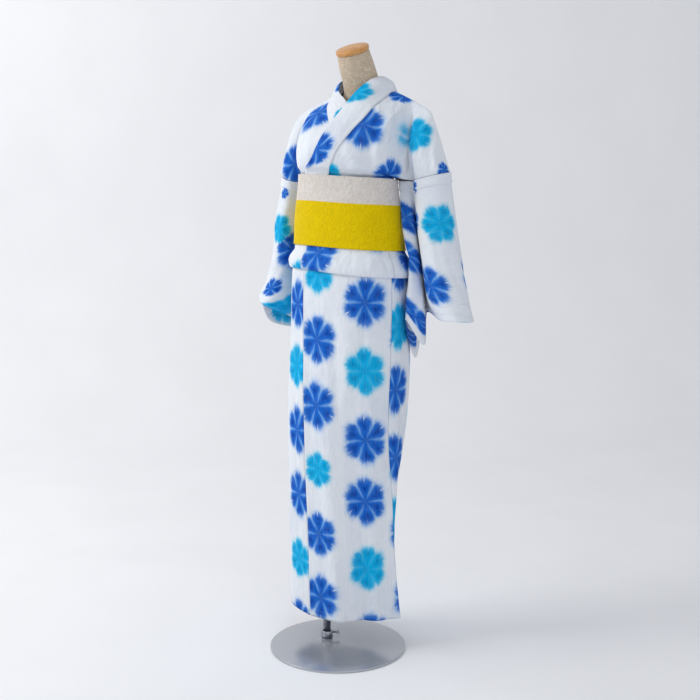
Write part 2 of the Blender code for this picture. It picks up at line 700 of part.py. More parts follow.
def add_stand():
    rim = 0.0008
    plate = ((BASE_RADIUS, 0.0), (BASE_RADIUS, BASE_THICK - rim), (BASE_RADIUS - rim, BASE_THICK))
    turned("base_plate", plate, 48, STEEL, Matrix.Identity(4))
    foot = Matrix.Translation((POLE_X, POLE_Y, BASE_THICK + SEAM))
    bore = POLE_RADIUS + SEAM
    high = SOCKET_HIGH
    profile = (
        (bore, 0.0),
        (SOCKET_RADIUS, 0.0),
        (SOCKET_RADIUS, high - 0.0010),
        (SOCKET_RADIUS - 0.0010, high),
        (bore, high),
    )
    rings = []
    for radius, z in profile:
        ring = []
        for step in range(32):
            turn = 2 * math.pi * step / 32
            ring.append(foot @ Vector((radius * math.cos(turn), radius * math.sin(turn), z)))
        rings.append(ring)
    closed_ring("base_socket", rings, STEEL)
    pole_top = FORM_LOW[0][0] - BASE_THICK - 2 * SEAM
    turned("pole", ((POLE_RADIUS, 0.0), (POLE_RADIUS, pole_top)), 32, STEEL, foot)
    turn = Matrix.Rotation(math.radians(LEVER_TURN), 4, "Z") @ Matrix.Rotation(math.radians(90), 4, "Y")
    middle = Matrix.Translation((POLE_X, POLE_Y, BASE_THICK + SEAM + high - 0.0055))
    reach = Matrix.Translation((0, 0, SOCKET_RADIUS + SEAM))
    end = LEVER_RADIUS + 0.0010
    lever = (
        (LEVER_RADIUS, 0.0),
        (LEVER_RADIUS, LEVER_LONG - 0.0060),
        (end, LEVER_LONG - 0.0050),
        (end, LEVER_LONG - 0.0010),
        (LEVER_RADIUS, LEVER_LONG),
    )
    turned("clamp_lever", lever, 16, STEEL, middle @ turn @ reach)


def closed_ring(name, rings, finish):
    """Solid turned from a closed profile that stays clear of the axis."""
    count = len(rings[0])
    faces = []
    for ring in range(len(rings)):
        after = (ring + 1) % len(rings)
        for step in range(count):
            following = (step + 1) % count
            a, b = ring * count + step, ring * count + following
            c, d = after * count + following, after * count + step
            faces.append((a, b, c, d))
    return add_mesh(name, [point for ring in rings for point in ring], faces, finish)


def main():
    clear_scene()
    add_stand()
    add_form()
    add_neck_cap()
    add_skirt()
    add_tuck()
    add_bodice()
    add_collar()
    add_belt()
    add_sleeve("sleeve_left", 1, LEFT_SLEEVE, LEFT_SLEEVE_Z)
    add_sleeve("sleeve_right", -1, RIGHT_SLEEVE, RIGHT_SLEEVE_Z)


main()
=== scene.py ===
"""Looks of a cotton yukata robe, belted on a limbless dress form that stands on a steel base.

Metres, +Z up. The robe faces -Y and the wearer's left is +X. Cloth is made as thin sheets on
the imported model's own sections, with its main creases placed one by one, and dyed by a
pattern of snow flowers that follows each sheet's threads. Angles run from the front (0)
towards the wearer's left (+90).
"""

import json
import math

import bmesh
import bpy
import numpy as np
from mathutils import Euler, Matrix, Vector
from mathutils.bvhtree import BVHTree

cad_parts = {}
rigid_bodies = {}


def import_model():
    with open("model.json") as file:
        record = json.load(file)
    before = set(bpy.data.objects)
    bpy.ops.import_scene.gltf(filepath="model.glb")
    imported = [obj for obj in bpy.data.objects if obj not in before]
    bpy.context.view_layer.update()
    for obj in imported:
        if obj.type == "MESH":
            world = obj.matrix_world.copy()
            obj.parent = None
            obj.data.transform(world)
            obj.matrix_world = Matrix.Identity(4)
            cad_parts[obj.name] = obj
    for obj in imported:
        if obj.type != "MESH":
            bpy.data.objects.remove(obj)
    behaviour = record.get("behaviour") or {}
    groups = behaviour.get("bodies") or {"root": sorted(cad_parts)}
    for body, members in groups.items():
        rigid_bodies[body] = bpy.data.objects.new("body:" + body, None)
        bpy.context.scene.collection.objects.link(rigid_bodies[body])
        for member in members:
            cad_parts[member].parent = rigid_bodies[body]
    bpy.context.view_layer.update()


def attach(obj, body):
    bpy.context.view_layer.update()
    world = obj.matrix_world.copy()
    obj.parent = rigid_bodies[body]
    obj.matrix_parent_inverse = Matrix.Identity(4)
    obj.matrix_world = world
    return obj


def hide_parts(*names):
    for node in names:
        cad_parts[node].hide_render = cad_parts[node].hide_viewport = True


bl_info = {
    "name": "Yukata on a Dress Form",
    "version": (1, 0, 0),
    "blender": (4, 5, 0),
    "location": "View3D > Sidebar > Yukata",
    "description": "Builds the cloth, belt, dress form and stand of a worn yukata robe",
    "category": "Object",
}

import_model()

# ---------------------------------------------------------------- sizes of the model's walls

# Heights of the skirt and the belt, and heights over the belt's top up to which the body is held
# in and from which it hangs free. Edges tilt towards an angle, by a height.
HEM_Z = 0.077
SKIRT_TOP_Z = 1.012
BODICE_HELD = 0.0060
BODICE_FREE = 0.0175
BELT_LOW_Z = 0.984
BELT_TOP_Z = 1.150
OKUMI_LIFT = 0.014
TILT_ANGLE = 117.0
BELT_TILT = 0.007
TUCK_TILT = 0.011

# How far out each layer lies: at the waist from its section, and on the chest from its table
WAIST_BODICE_UNDER = 0.0015
WAIST_BODICE_OVER = 0.0041
WAIST_COLLAR_OVER = 0.0070
WAIST_BELT = 0.0098
CHEST_FRONT_UNDER = 0.0
CHEST_COLLAR_UNDER = 0.0050
CHEST_FRONT_OVER = 0.0115
CHEST_COLLAR_OVER = 0.0165

# Stand and neck cap, and the gap left between pieces
BASE_RADIUS = 0.167
BASE_THICK = 0.0055
POLE_X = -0.045
POLE_Y = 0.016
POLE_RADIUS = 0.0095
SOCKET_RADIUS = 0.0140
SOCKET_HIGH = 0.0190
LEVER_RADIUS = 0.0028
LEVER_LONG = 0.0170
LEVER_TURN = 35.0
CAP_RADIUS = 0.0400
CAP_RIM = 0.0085
CAP_DOME = 0.0060
CAP_TILT = 24.0
CAP_SEAT = (0.003, 0.060, 1.441)
CLEAR = 0.0003

# Angles of the skirt's seams and edges at these heights, and where it sinks under the overlap
SEAM_Z = (0.06, 0.27, 0.39, 0.565, 0.80, 1.02)
OKUMI_EDGE = (-86.0, -84.5, -83.5, -82.0, -80.5, -80.0)
OKUMI_SEAM = (-32.5, -28.0, -27.0, -24.0, -31.0, -32.0)
SIDE_SEAM = (90.0, 90.0, 85.0, 77.0, 76.0, 76.0)
BACK_SEAM = (190.0,) * 6
UNDER_SIDE_SEAM = (316.0, 317.0, 318.0, 319.0, 320.0, 320.0)
UNDER_FRONT_EDGE = (436.0, 435.0, 434.0, 432.0, 430.0, 430.0)
UNDER_OKUMI_EDGE = (490.0, 489.0, 488.0, 487.0, 486.0, 486.0)
SINK_START = 250.0
SINK_END = 272.0

# Garment section: centre, half sizes to each side, squareness of three of its quarters. The
# right back quarter keeps one squareness, and the quarters blend near the middle line.
SQUARE_BACK_RIGHT = 2.1
SQUARE_BLEND = 0.35
SECTION_COLUMNS = ("z", "cx", "cy", "right", "front", "left", "back",
                   "square_right", "square_left", "square_back")
SECTIONS = (
    (0.05, 0.013, 0.077, 0.174, 0.109, 0.119, 0.052, 3.0, 1.12, 1.15),
    (0.18, 0.009, 0.070, 0.169, 0.108, 0.112, 0.054, 2.8, 1.20, 1.20),
    (0.28, 0.006, 0.065, 0.164, 0.108, 0.110, 0.058, 2.6, 1.30, 1.35),
    (0.39, 0.003, 0.060, 0.159, 0.110, 0.121, 0.070, 2.4, 1.50, 1.60),
    (0.565, 0.000, 0.052, 0.155, 0.115, 0.136, 0.099, 2.2, 1.75, 2.0),
    (0.79, 0.000, 0.052, 0.150, 0.107, 0.145, 0.113, 2.1, 2.0, 2.1),
    (0.93, 0.000, 0.051, 0.146, 0.103, 0.145, 0.108, 2.1, 2.1, 2.1),
    (0.985, 0.000, 0.049, 0.136, 0.094, 0.133, 0.094, 2.1, 2.1, 2.1),
    (1.06, 0.000, 0.043, 0.127, 0.090, 0.127, 0.091, 2.1, 2.1, 2.1),
    (1.15, 0.000, 0.036, 0.111, 0.083, 0.119, 0.086, 2.1, 2.1, 2.1),
    (1.20, 0.000, 0.036, 0.113, 0.086, 0.122, 0.089, 2.1, 2.1, 2.1),
)

# Dress form: height, centre, half width, half depth, lean of the section
FORM_LOW = (
    (0.690, 0.000, 0.050, 0.060, 0.050, 0.0),
    (0.700, 0.000, 0.050, 0.105, 0.078, 0.0),
    (0.740, 0.000, 0.051, 0.129, 0.095, 0.0),
    (0.930, 0.000, 0.051, 0.134, 0.093, 0.0),
)
FORM_WAIST_Z = (0.985, 1.020, 1.060, 1.100, 1.140)
FORM_HIGH = (
    (1.170, 0.003, 0.036, 0.112, 0.082, 0.0),
    (1.215, 0.003, 0.048, 0.122, 0.084, 0.0),
    (1.255, 0.005, 0.070, 0.130, 0.074, 0.0),
    (1.288, 0.007, 0.090, 0.134, 0.056, 0.0),
    (1.312, 0.008, 0.099, 0.108, 0.046, 0.0),
    (1.333, 0.008, 0.102, 0.072, 0.045, 4.0),
    (1.352, 0.008, 0.101, 0.053, 0.044, 8.0),
    (1.378, 0.005, 0.090, 0.044, 0.042, 14.0),
    (1.408, 0.004, 0.075, 0.042, 0.041, 20.0),
    (1.441, 0.003, 0.060, 0.038, 0.038, 24.0),
)

# Chest and back of the robe: depth Y at each height, by distance from the middle
CHEST_X = (0.0, 0.05, 0.10, 0.13, 0.148, 0.17, 0.205, 0.25)
CHEST_Z = (1.10, 1.15, 1.20, 1.25, 1.30, 1.345, 1.38)
CHEST_Y = (
    (-0.046, -0.040, -0.012, 0.030, 0.080, 0.058, 0.050, 0.072),
    (-0.048, -0.042, -0.014, 0.028, 0.079, 0.057, 0.050, 0.074),
    (-0.056, -0.049, -0.021, 0.017, 0.076, 0.058, 0.052, 0.075),
    (-0.030, -0.025, -0.004, 0.024, 0.074, 0.066, 0.062, 0.079),
    (0.017, 0.020, 0.036, 0.052, 0.073, 0.078, 0.084, 0.088),
    (0.049, 0.064, 0.109, 0.104, 0.098, 0.096, 0.100, 0.100),
    (0.064, 0.096, 0.122, 0.114, 0.106, 0.105, 0.105, 0.105),
)
BACK_Y = (
    (0.136, 0.130, 0.112, 0.100, 0.100, 0.112, 0.122, 0.102),
    (0.142, 0.137, 0.122, 0.112, 0.108, 0.116, 0.124, 0.100),
    (0.156, 0.152, 0.140, 0.132, 0.126, 0.128, 0.129, 0.098),
    (0.170, 0.166, 0.154, 0.148, 0.143, 0.140, 0.126, 0.096),
    (0.181, 0.174, 0.160, 0.148, 0.142, 0.134, 0.118, 0.096),
    (0.183, 0.168, 0.136, 0.126, 0.121, 0.116, 0.108, 0.104),
    (0.176, 0.150, 0.116, 0.112, 0.112, 0.110, 0.108, 0.106),
)

# Shoulder line from the collar to the top of the armhole, as (across, depth, height)
LEFT_SHOULDER = (
    (0.068, 0.113, 1.361), (0.100, 0.108, 1.345), (0.137, 0.100, 1.329),
    (0.168, 0.092, 1.314), (0.199, 0.088, 1.296), (0.212, 0.087, 1.272),
    (0.229, 0.086, 1.228), (0.240, 0.086, 1.185), (0.246, 0.086, 1.163),
)
RIGHT_SHOULDER = (
    (0.062, 0.113, 1.361), (0.097, 0.108, 1.345), (0.134, 0.100, 1.328),
    (0.162, 0.092, 1.314), (0.190, 0.087, 1.288), (0.208, 0.086, 1.245),
    (0.217, 0.086, 1.200), (0.220, 0.086, 1.175), (0.222, 0.086, 1.163),
)

# Body panels: the armpit's share of the shoulder line, its column and the columns past it, then
# the angles of their edges at the belt, and the back's neck as (way down, across, height)
ARMPIT_SHARE = 0.36
ARMPIT_COLUMN = 13
OUTER_COLUMNS = 9
OVER_FRONT_ANGLE = -18.0
UNDER_FRONT_ANGLE = -52.0
FRONT_SIDE_ANGLE = 96.0
BACK_EDGE_ANGLE = 179.75
BACK_SIDE_ANGLE = 120.0
BACK_NECK = ((0.0, 1.0, 1.356), (0.05, 0.77, 1.356), (0.12, 0.41, 1.355), (0.20, 0.0, 1.354))

# Collar in front: neck edge and body edge, as (across, height); depth follows the chest
OVER_COLLAR = (
    (0.050, 1.378, 0.090, 1.352),
    (0.030, 1.349, 0.0875, 1.335),
    (0.018, 1.322, 0.086, 1.311),
    (0.009, 1.286, 0.079, 1.281),
    (0.003, 1.262, 0.067, 1.255),
    (-0.004, 1.239, 0.055, 1.230),
    (-0.011, 1.216, 0.044, 1.208),
    (-0.022, 1.192, 0.035, 1.188),
    (-0.042, 1.173, 0.026, 1.173),
    (-0.069, 1.160, 0.016, 1.157),
    (-0.080, 1.135, 0.010, 1.135),
)
UNDER_COLLAR = (
    (-0.052, 1.374, -0.090, 1.350),
    (-0.035, 1.352, -0.078, 1.338),
    (0.010, 1.320, -0.054, 1.314),
    (0.021, 1.286, -0.030, 1.288),
    (0.034, 1.262, -0.008, 1.266),
    (0.048, 1.240, 0.012, 1.244),
)
NECK_CENTRE = (0.004, 0.098)
NECK_COLLAR = (
    (100.0, 0.055, 1.386, 0.089, 1.3515),
    (125.0, 0.054, 1.386, 0.091, 1.3510),
    (155.0, 0.060, 1.385, 0.090, 1.3490),
    (180.0, 0.065, 1.385, 0.090, 1.3475),
)
COLLAR_ROLL = 0.0034
COLLAR_SEAT = 0.0020

# Tuck below the belt, from under the belt down to the fold and up again: height, distance out
TUCK_PATH = (
    (1.0200, 0.0061), (0.9900, 0.0070), (0.9760, 0.0072), (0.9660, 0.0108), (0.9500, 0.0148),
    (0.9340, 0.0150), (0.9250, 0.0106), (0.9300, 0.0072), (0.9460, 0.0063),
)

# Sleeve loops in plan and their heights, in mm: a row for each loop from the armhole down, with
# these places round it, from the outer fold past the front, the valley and the strip inside it
SLEEVE_COLUMNS = ("fold", "front", "front_edge", "valley", "strip_out", "strip_in",
                  "back_in", "back", "back_out")
LEFT_SLEEVE = (
    ((250, 88), (226, 57), (186, 50), (163, 79), (143, 78),
     (123, 80), (130, 114), (170, 146), (222, 128)),
    ((269, 87), (246, 51), (198, 43), (165, 90), (169, 66),
     (147, 54), (149, 110), (176, 150), (239, 132)),
    ((288, 86), (262, 47), (212, 42), (172, 110), (187, 62),
     (173, 42), (152, 124), (182, 156), (254, 132)),
    ((304, 83), (280, 43), (228, 46), (170, 124), (200, 58),
     (171, 36), (146, 126), (176, 160), (272, 130)),
    ((319, 80), (301, 40), (256, 49), (170, 130), (205, 60),
     (167, 40), (148, 118), (164, 150), (286, 126)),
)
RIGHT_SLEEVE = (
    ((224, 86), (204, 57), (178, 50), (163, 79), (158, 94),
     (152, 108), (156, 132), (178, 150), (206, 128)),
    ((240, 84), (218, 46), (185, 36), (168, 76), (164, 100),
     (160, 122), (170, 142), (186, 156), (222, 128)),
    ((252, 82), (226, 42), (192, 33), (172, 80), (166, 106),
     (164, 128), (176, 148), (192, 162), (234, 128)),
    ((276, 78), (244, 36), (212, 30), (184, 84), (172, 112),
     (166, 136), (186, 158), (216, 168), (262, 126)),
    ((298, 74), (270, 40), (234, 30), (200, 84), (180, 112),
     (172, 140), (196, 166), (250, 165), (303, 116)),
)
LEFT_SLEEVE_Z = (
    (1157, 1150, 1141, 1139, 1139, 1138, 1130, 1136, 1152),
    (1040, 1038, 1036, 1036, 1036, 1036, 1036, 1038, 1040),
    (950, 948, 946, 946, 946, 946, 946, 948, 950),
    (870, 868, 868, 868, 856, 862, 858, 870, 868),
    (818, 821, 822, 828, 760, 818, 720, 836, 822),
)
RIGHT_SLEEVE_Z = (
    (1157, 1150, 1142, 1139, 1137, 1133, 1128, 1136, 1152),
    (1060, 1052, 1046, 1044, 1042, 1040, 1040, 1046, 1056),
    (965, 955, 948, 946, 944, 942, 942, 948, 960),
    (896, 880, 868, 862, 856, 852, 850, 856, 880),
    (853, 838, 826, 800, 782, 772, 768, 764, 784),
)

# ---------------------------------------------------------------- sizes of the finish

CLOTH_STEP = 0.0040
LENGTH_STEP = 0.0060
MEAN_RADIUS = 0.130
BAND_Z = 1.0890
CHEST_STEP = 0.004
MOST_CHEST_SLOPE = 1.9

# Reliefs of a finished edge: a hem's fold, and the ridge along a seam
HEM_RAISED = 0.0005
SKIRT_HEM = (0.017, 0.020)
SEAM_RAISED = 0.0013
SEAM_IN = 0.0040
SEAM_WIDE = 0.0032

# How far out the skirt's cloth lies, below the waist and at it: over the overlap, and under it
SKIRT_WAIST = (0.80, 0.93)
SKIRT_OUT_OVER = (0.0052, 0.0038)
SKIRT_OUT_UNDER = (-0.0050, 0.0013)

# Creases, each a soft trough (-) or ridge (+) from one end to the other: place and height of one
# end, place and height of the other, then its width and depth in mm. On the skirt and the tuck a
# place is an angle, and elsewhere it is in metres.
SKIRT_CREASES = (
    (10.0, 0.840, 8.0, -0.050, 20.0, 4.0),
    (36.0, 0.740, 40.0, -0.120, 20.0, -11.0),
    (60.0, 0.860, 62.0, -0.120, 18.0, 6.0),
    (80.0, 0.700, 78.0, -0.060, 14.0, -4.0),
    (-30.0, 0.760, -34.0, 0.050, 20.0, 4.0),
    (118.0, 0.820, 124.0, 0.050, 26.0, 5.0),
    (190.0, 0.820, 184.0, 0.050, 28.0, 5.5),
    (236.0, 0.820, 242.0, 0.050, 26.0, 5.0),
    (-22.0, 0.900, -14.0, 0.420, 14.0, -2.4),
    (-4.0, 0.910, 2.0, 0.250, 17.0, 2.7),
    (12.0, 0.890, 24.0, 0.520, 12.0, -2.5),
    (30.0, 0.920, 38.0, 0.300, 15.0, 2.8),
    (50.0, 0.900, 46.0, 0.610, 10.0, -2.4),
    (60.0, 0.860, 66.0, 0.200, 13.0, -3.2),
    (8.0, 0.420, 16.0, 0.080, 16.0, -3.3),
    (-16.0, 0.360, -20.0, 0.080, 15.0, 2.8),
    (40.0, 0.330, 52.0, 0.080, 15.0, -3.0),
    (-40.0, 0.880, -44.0, 0.300, 11.0, -2.2),
    (-58.0, 0.900, -66.0, 0.120, 12.0, 2.4),
    (-74.0, 0.820, -72.0, 0.240, 9.0, -2.0),
    (92.0, 0.900, 100.0, 0.340, 13.0, -3.3),
    (112.0, 0.880, 118.0, 0.180, 15.0, 3.6),
    (134.0, 0.900, 128.0, 0.420, 12.0, -2.7),
    (152.0, 0.860, 160.0, 0.100, 16.0, 3.3),
    (172.0, 0.910, 168.0, 0.360, 13.0, -2.8),
    (205.0, 0.900, 212.0, 0.160, 15.0, 3.2),
    (224.0, 0.870, 220.0, 0.440, 12.0, -2.5),
    (243.0, 0.900, 250.0, 0.120, 14.0, -3.0),
    (262.0, 0.850, 258.0, 0.300, 13.0, 2.7),
    (284.0, 0.900, 290.0, 0.200, 15.0, -2.4),
)

# Flowers of a net: least distance between two, how far a body's flower may lie off its cloth, and
# the size, turn and spread in size of those that repeat
LEAST_FLOWER_GAP = 0.105
BODY_FLOWER_GAP = 0.118
BODY_FLOWER_OFF = 0.012
REPEAT_SIZE = 0.95
MOST_TURN = 0.10
SIZE_SPREAD = (0.97, 1.03)

# Cloth round a flower's middle that says which way it faces, and how far its offsets may grow
NEAR_CLOTH = 0.030
FAR_CLOTH = 0.100
MOST_GROWTH = 1.6

# Dyer's net of flowers on each sheet, in metres: columns apart, half a step along, how much a
# flower is drawn in both ways, then the flowers that show: middle across and along, column and
# half-step in the net, dye, size and, where it isn't round, width for its length. The rest of
# the net follows them.
FLOWERS = {
    "skirt_front_left": (0.113, 0.079, (1.12, 1.0), (
        (0.170, 0.862, 0, 2, "blue", 1.0),
        (0.169, 0.700, 0, 0, "turquoise", 0.95),
        (0.165, 0.535, 0, -2, "blue", 1.0),
        (0.162, 0.382, 0, -4, "blue", 1.02),
        (0.165, 0.211, 0, -6, "turquoise", 0.98),
        (0.175, 0.042, 0, -8, "blue", 0.9),
        (0.049, 0.928, -1, 3, "turquoise", 0.9),
        (0.048, 0.770, -1, 1, "blue", 1.0),
        (0.043, 0.614, -1, -1, "blue", 1.0),
        (0.041, 0.456, -1, -3, "turquoise", 0.80),
        (0.035, 0.294, -1, -5, "blue", 0.95),
        (0.036, 0.133, -1, -7, "blue", 1.0))),
    "skirt_okumi_left": (0.113, 0.079, (1.12, 1.0), (
        (-0.026, 0.850, 0, 2, "blue", 0.98),
        (-0.032, 0.700, 0, 0, "turquoise", 0.9),
        (-0.027, 0.545, 0, -2, "blue", 1.0),
        (-0.032, 0.383, 0, -4, "blue", 1.0),
        (-0.039, 0.217, 0, -6, "turquoise", 0.9),
        (-0.040, 0.056, 0, -8, "blue", 0.85))),
    "skirt_back_left": (0.115, 0.079, (1.10, 1.0), (
        (0.026, 0.802, 0, 0, "turquoise", 0.95),
        (0.031, 0.945, 0, 2, "blue", 1.0),
        (0.020, 0.652, 0, -2, "blue", 1.0),
        (0.018, 0.485, 0, -4, "blue", 1.0),
        (0.004, 0.329, 0, -6, "turquoise", 0.95))),
    "skirt_back_right": (0.115, 0.079, (1.10, 1.0), (
        (0.080, 0.650, 0, 0, "turquoise", 0.95),)),
    "skirt_front_right": (0.115, 0.079, (1.10, 1.0), (
        (0.060, 0.700, 0, 0, "turquoise", 0.95),)),
    "skirt_okumi_right": (0.115, 0.079, (1.10, 1.0), (
        (0.060, 0.640, 0, 0, "turquoise", 0.95),)),
    "tuck_okumi": (0.125, 0.083, (1.0, 1.0), (
        (0.112, -0.112, 0, 0, "turquoise", 0.75),)),
    "tuck_front": (0.125, 0.083, (1.05, 1.0), (
        (0.046, -0.050, 0, 0, "blue", 0.9),
        (0.190, 0.007, 1, 1, "blue", 0.9),
        (0.190, -0.160, 1, -1, "blue", 0.3))),
    "tuck_back_left": (0.125, 0.083, (1.0, 1.0), (
        (0.075, -0.055, 0, 0, "blue", 0.95),)),
    "tuck_back_right": (0.125, 0.083, (1.0, 1.0), (
        (0.060, -0.150, 0, 0, "turquoise", 0.9),)),
    "body_left": (0.145, 0.084, (1.0, 1.0), (
        (-0.294, -0.147, 0, 0, "blue", 0.97, 0.86),
        (-0.192, -0.219, 1, -1, "blue", 0.70),
        (-0.127, -0.073, 2, 0, "turquoise", 0.74, 1.02),
        (-0.236, 0.000, 0, 2, "blue", 0.62),
        (-0.012, -0.012, 3, 1, "blue", 0.32),
        (-0.335, -0.312, -1, -3, "turquoise", 0.60))),
    "body_right": (0.145, 0.084, (1.0, 1.0), (
        (-0.256, -0.091, 0, 0, "blue", 1.02, 1.12),
        (-0.083, -0.124, 1, -1, "blue", 0.80, 0.78))),
    "collar": (0.120, 0.0875, (1.45, 1.25), (
        (0.004, -0.268, 0, 2, "turquoise", 0.76, 1.30),
        (0.006, -0.092, 0, 0, "blue", 1.0),
        (-0.014, -0.592, 0, 6, "blue", 0.7),
        (0.012, -0.712, 0, 8, "turquoise", 0.5))),
    "sleeve_left": (0.145, 0.084, (1.0, 1.05), (
        (0.111, 0.212, 0, 0, "turquoise", 0.86),
        (0.246, 0.286, 1, 1, "blue", 0.85),
        (0.250, 0.150, 1, -1, "blue", 0.80),
        (0.392, 0.352, 2, 2, "turquoise", 0.90),
        (0.088, 0.352, 0, 3, "blue", 0.72),
        (0.086, 0.290, 0, 2, "blue", 0.55),
        (0.176, 0.428, 1, 4, "blue", 0.85),
        (0.322, 0.552, 2, 6, "blue", 0.95),
        (0.218, 0.018, 1, -3, "blue", 0.90),
        (0.012, 0.262, -1, 1, "blue", 0.34))),
    "sleeve_right": (0.145, 0.084, (1.0, 1.05), (
        (0.123, 0.188, 0, 0, "turquoise", 0.72),
        (0.168, 0.238, 1, 1, "blue", 0.80),
        (0.272, 0.230, 2, 0, "blue", 0.50),
        (0.315, 0.320, 2, 2, "turquoise", 0.85),
        (0.335, 0.095, 2, -3, "turquoise", 0.90),
        (0.033, 0.176, -1, -1, "blue", 0.25))),
}


# ---------------------------------------------------------------- shape helpers

def slopes(knots, values):
    """Catmull-Rom slopes of rows of values over uneven knots."""
    steps = np.diff(values, axis=0) / np.diff(knots).reshape(-1, *[1] * (values.ndim - 1))
    found = np.empty_like(values)
    found[0] = steps[0]
    found[-1] = steps[-1]
    found[1:-1] = (steps[:-1] + steps[1:]) / 2
    return found


def hermite(share, wide, first, second, slope_first, slope_second):
    """Smooth value part of the way from one knot to the next, a width apart."""
    square, cube = share**2, share**3
    return (
        (2 * cube - 3 * square + 1) * first
        + (cube - 2 * square + share) * wide * slope_first
        + (3 * square - 2 * cube) * second
        + (cube - square) * wide * slope_second
    )


def curve(knots, values, at):
    """Smooth values of a table's columns at places between its rows."""
    knots = np.asarray(knots, float)
    values = np.asarray(values, float)
    at = np.clip(np.asarray(at, float), knots[0], knots[-1])
    low = np.clip(np.searchsorted(knots, at, side="right") - 1, 0, len(knots) - 2)
    wide = knots[low + 1] - knots[low]
    share = (at - knots[low]) / wide
    extra = (1,) * (values.ndim - 1)
    wide = wide.reshape(wide.shape + extra)
    share = share.reshape(share.shape + extra)
    slope = slopes(knots, values)
    return hermite(share, wide, values[low], values[low + 1], slope[low], slope[low + 1])


def curve_each(knots, rows, at):
    """Smooth value at each place, where every place has its own column of knot values."""
    knots = np.asarray(knots, float)
    at = np.clip(at, knots[0], knots[-1])
    low = np.clip(np.searchsorted(knots, at, side="right") - 1, 0, len(knots) - 2)
    wide = knots[low + 1] - knots[low]
    slope = slopes(knots, rows)

    def pick(table, index):
        return np.take_along_axis(table, index[None], 0)[0]

    share = (at - knots[low]) / wide
    ends = [pick(table, index) for table in (rows, slope) for index in (low, low + 1)]
    return hermite(share, wide, *ends)


def ease(at, start, end):
    share = np.clip((np.asarray(at, float) - start) / (end - start), 0.0, 1.0)
    return share * share * (3 - 2 * share)


def mix(first, second, share):
    return first + (second - first) * share


def levels(low, high, count):
    return np.linspace(low, high, count)


def swell(at, middle, wide):
    """Soft ridge: one at its middle, fading to both sides."""
    return np.exp(-(((at - middle) / wide) ** 2))


def section_table(z):
    """Rows of the garment's section at these heights."""
    return curve([line[0] for line in SECTIONS], SECTIONS, z)


def section_point(angle, z, out):
    """Points of the garment's section at these angles and heights, moved out by a distance."""
    angle, z, out = np.broadcast_arrays(*(np.asarray(item, float) for item in (angle, z, out)))
    table = section_table(z)
    row = {name: table[..., place] for place, name in enumerate(SECTION_COLUMNS)}
    across, ahead = np.sin(np.radians(angle)), np.cos(np.radians(angle))
    wide = np.where(across >= 0, row["left"], row["right"])
    deep = np.where(ahead >= 0, row["front"], row["back"])
    middle = (row["square_right"] + row["square_left"]) / 2
    blend = ease(np.abs(across), 0.0, SQUARE_BLEND)
    front = mix(middle, np.where(across >= 0, row["square_left"], row["square_right"]), blend)
    behind = mix(SQUARE_BACK_RIGHT, row["square_back"], blend)
    behind = np.where(across >= 0, behind, SQUARE_BACK_RIGHT)
    square = np.where(ahead >= 0, front, behind)
    reach = ((np.abs(across) / wide) ** square + (np.abs(ahead) / deep) ** square) ** (-1 / square)
    x = row["cx"] + (reach + out) * across
    y = row["cy"] - (reach + out) * ahead
    return np.stack([x, y, z], axis=-1)


def section_side(side, angle, z, out):
    """Section points on the wearer's left or right, both written as if on the left."""
    return section_point(side * np.asarray(angle), z, out) * (side, 1, 1)


def dip(angle, depth):
    """Height lost towards the low side of a tilted edge."""
    return -depth * np.cos(np.radians(np.asarray(angle) - TILT_ANGLE))


def chest_depth(table, across, z):
    """Depth of the chest or back, from its table, at a place across and up."""
    away = np.minimum(np.abs(across), CHEST_X[-1])
    rows = np.stack([curve(CHEST_X, line, away) for line in table])
    return curve_each(CHEST_Z, rows, z)


def chest_point(table, across, z, out, facing=-1):
    """Points of the chest or back, moved out square to it by a distance."""

    def slope_along(wide, high):
        ahead = chest_depth(table, across + wide, z + high)
        return (ahead - chest_depth(table, across - wide, z - high)) / (2 * CHEST_STEP)

    side, rise = slope_along(CHEST_STEP, 0.0), slope_along(0.0, CHEST_STEP)
    slope = np.minimum(np.sqrt(1 + side * side + rise * rise), MOST_CHEST_SLOPE)
    return np.stack([across, chest_depth(table, across, z) + facing * out * slope, z], axis=-1)


def worn_point(table, facing, across, z, out, waist_out, side=1, belted=1.0):
    """Points of the chest or back, drawn in to the waist section just above the belt's top."""
    across, z = np.broadcast_arrays(np.asarray(across, float), np.asarray(z, float))
    free = chest_point(table, across, z, out, facing)
    centre = section_table(z)[..., 1:3]
    angle = np.degrees(np.arctan2(free[..., 0] - centre[..., 0], centre[..., 1] - free[..., 1]))
    above = z - BELT_TOP_Z - dip(side * angle, BELT_TILT)
    held = belted * (1 - np.clip((above - BODICE_HELD) / (BODICE_FREE - BODICE_HELD), 0.0, 1.0))
    return mix(free, section_side(side, angle, z, waist_out), held[..., None])


def lengths(points, axis):
    """Running length of a net's lines along one axis, from their first points."""
    steps = np.linalg.norm(np.diff(points, axis=axis), axis=-1)
    first = np.zeros_like(np.take(steps, [0], axis=axis))
    return np.concatenate([first, np.cumsum(steps, axis=axis)], axis=axis)


def normals(points, ring=False):
    """Outward unit normals of a net whose rows run up and columns run round."""
    if ring:
        round_ = np.roll(points, -1, axis=1) - np.roll(points, 1, axis=1)
    else:
        round_ = np.gradient(points, axis=1)
    found = np.cross(round_, np.gradient(points, axis=0))
    size = np.linalg.norm(found, axis=-1, keepdims=True)
    return found / np.maximum(size, 1e-9)


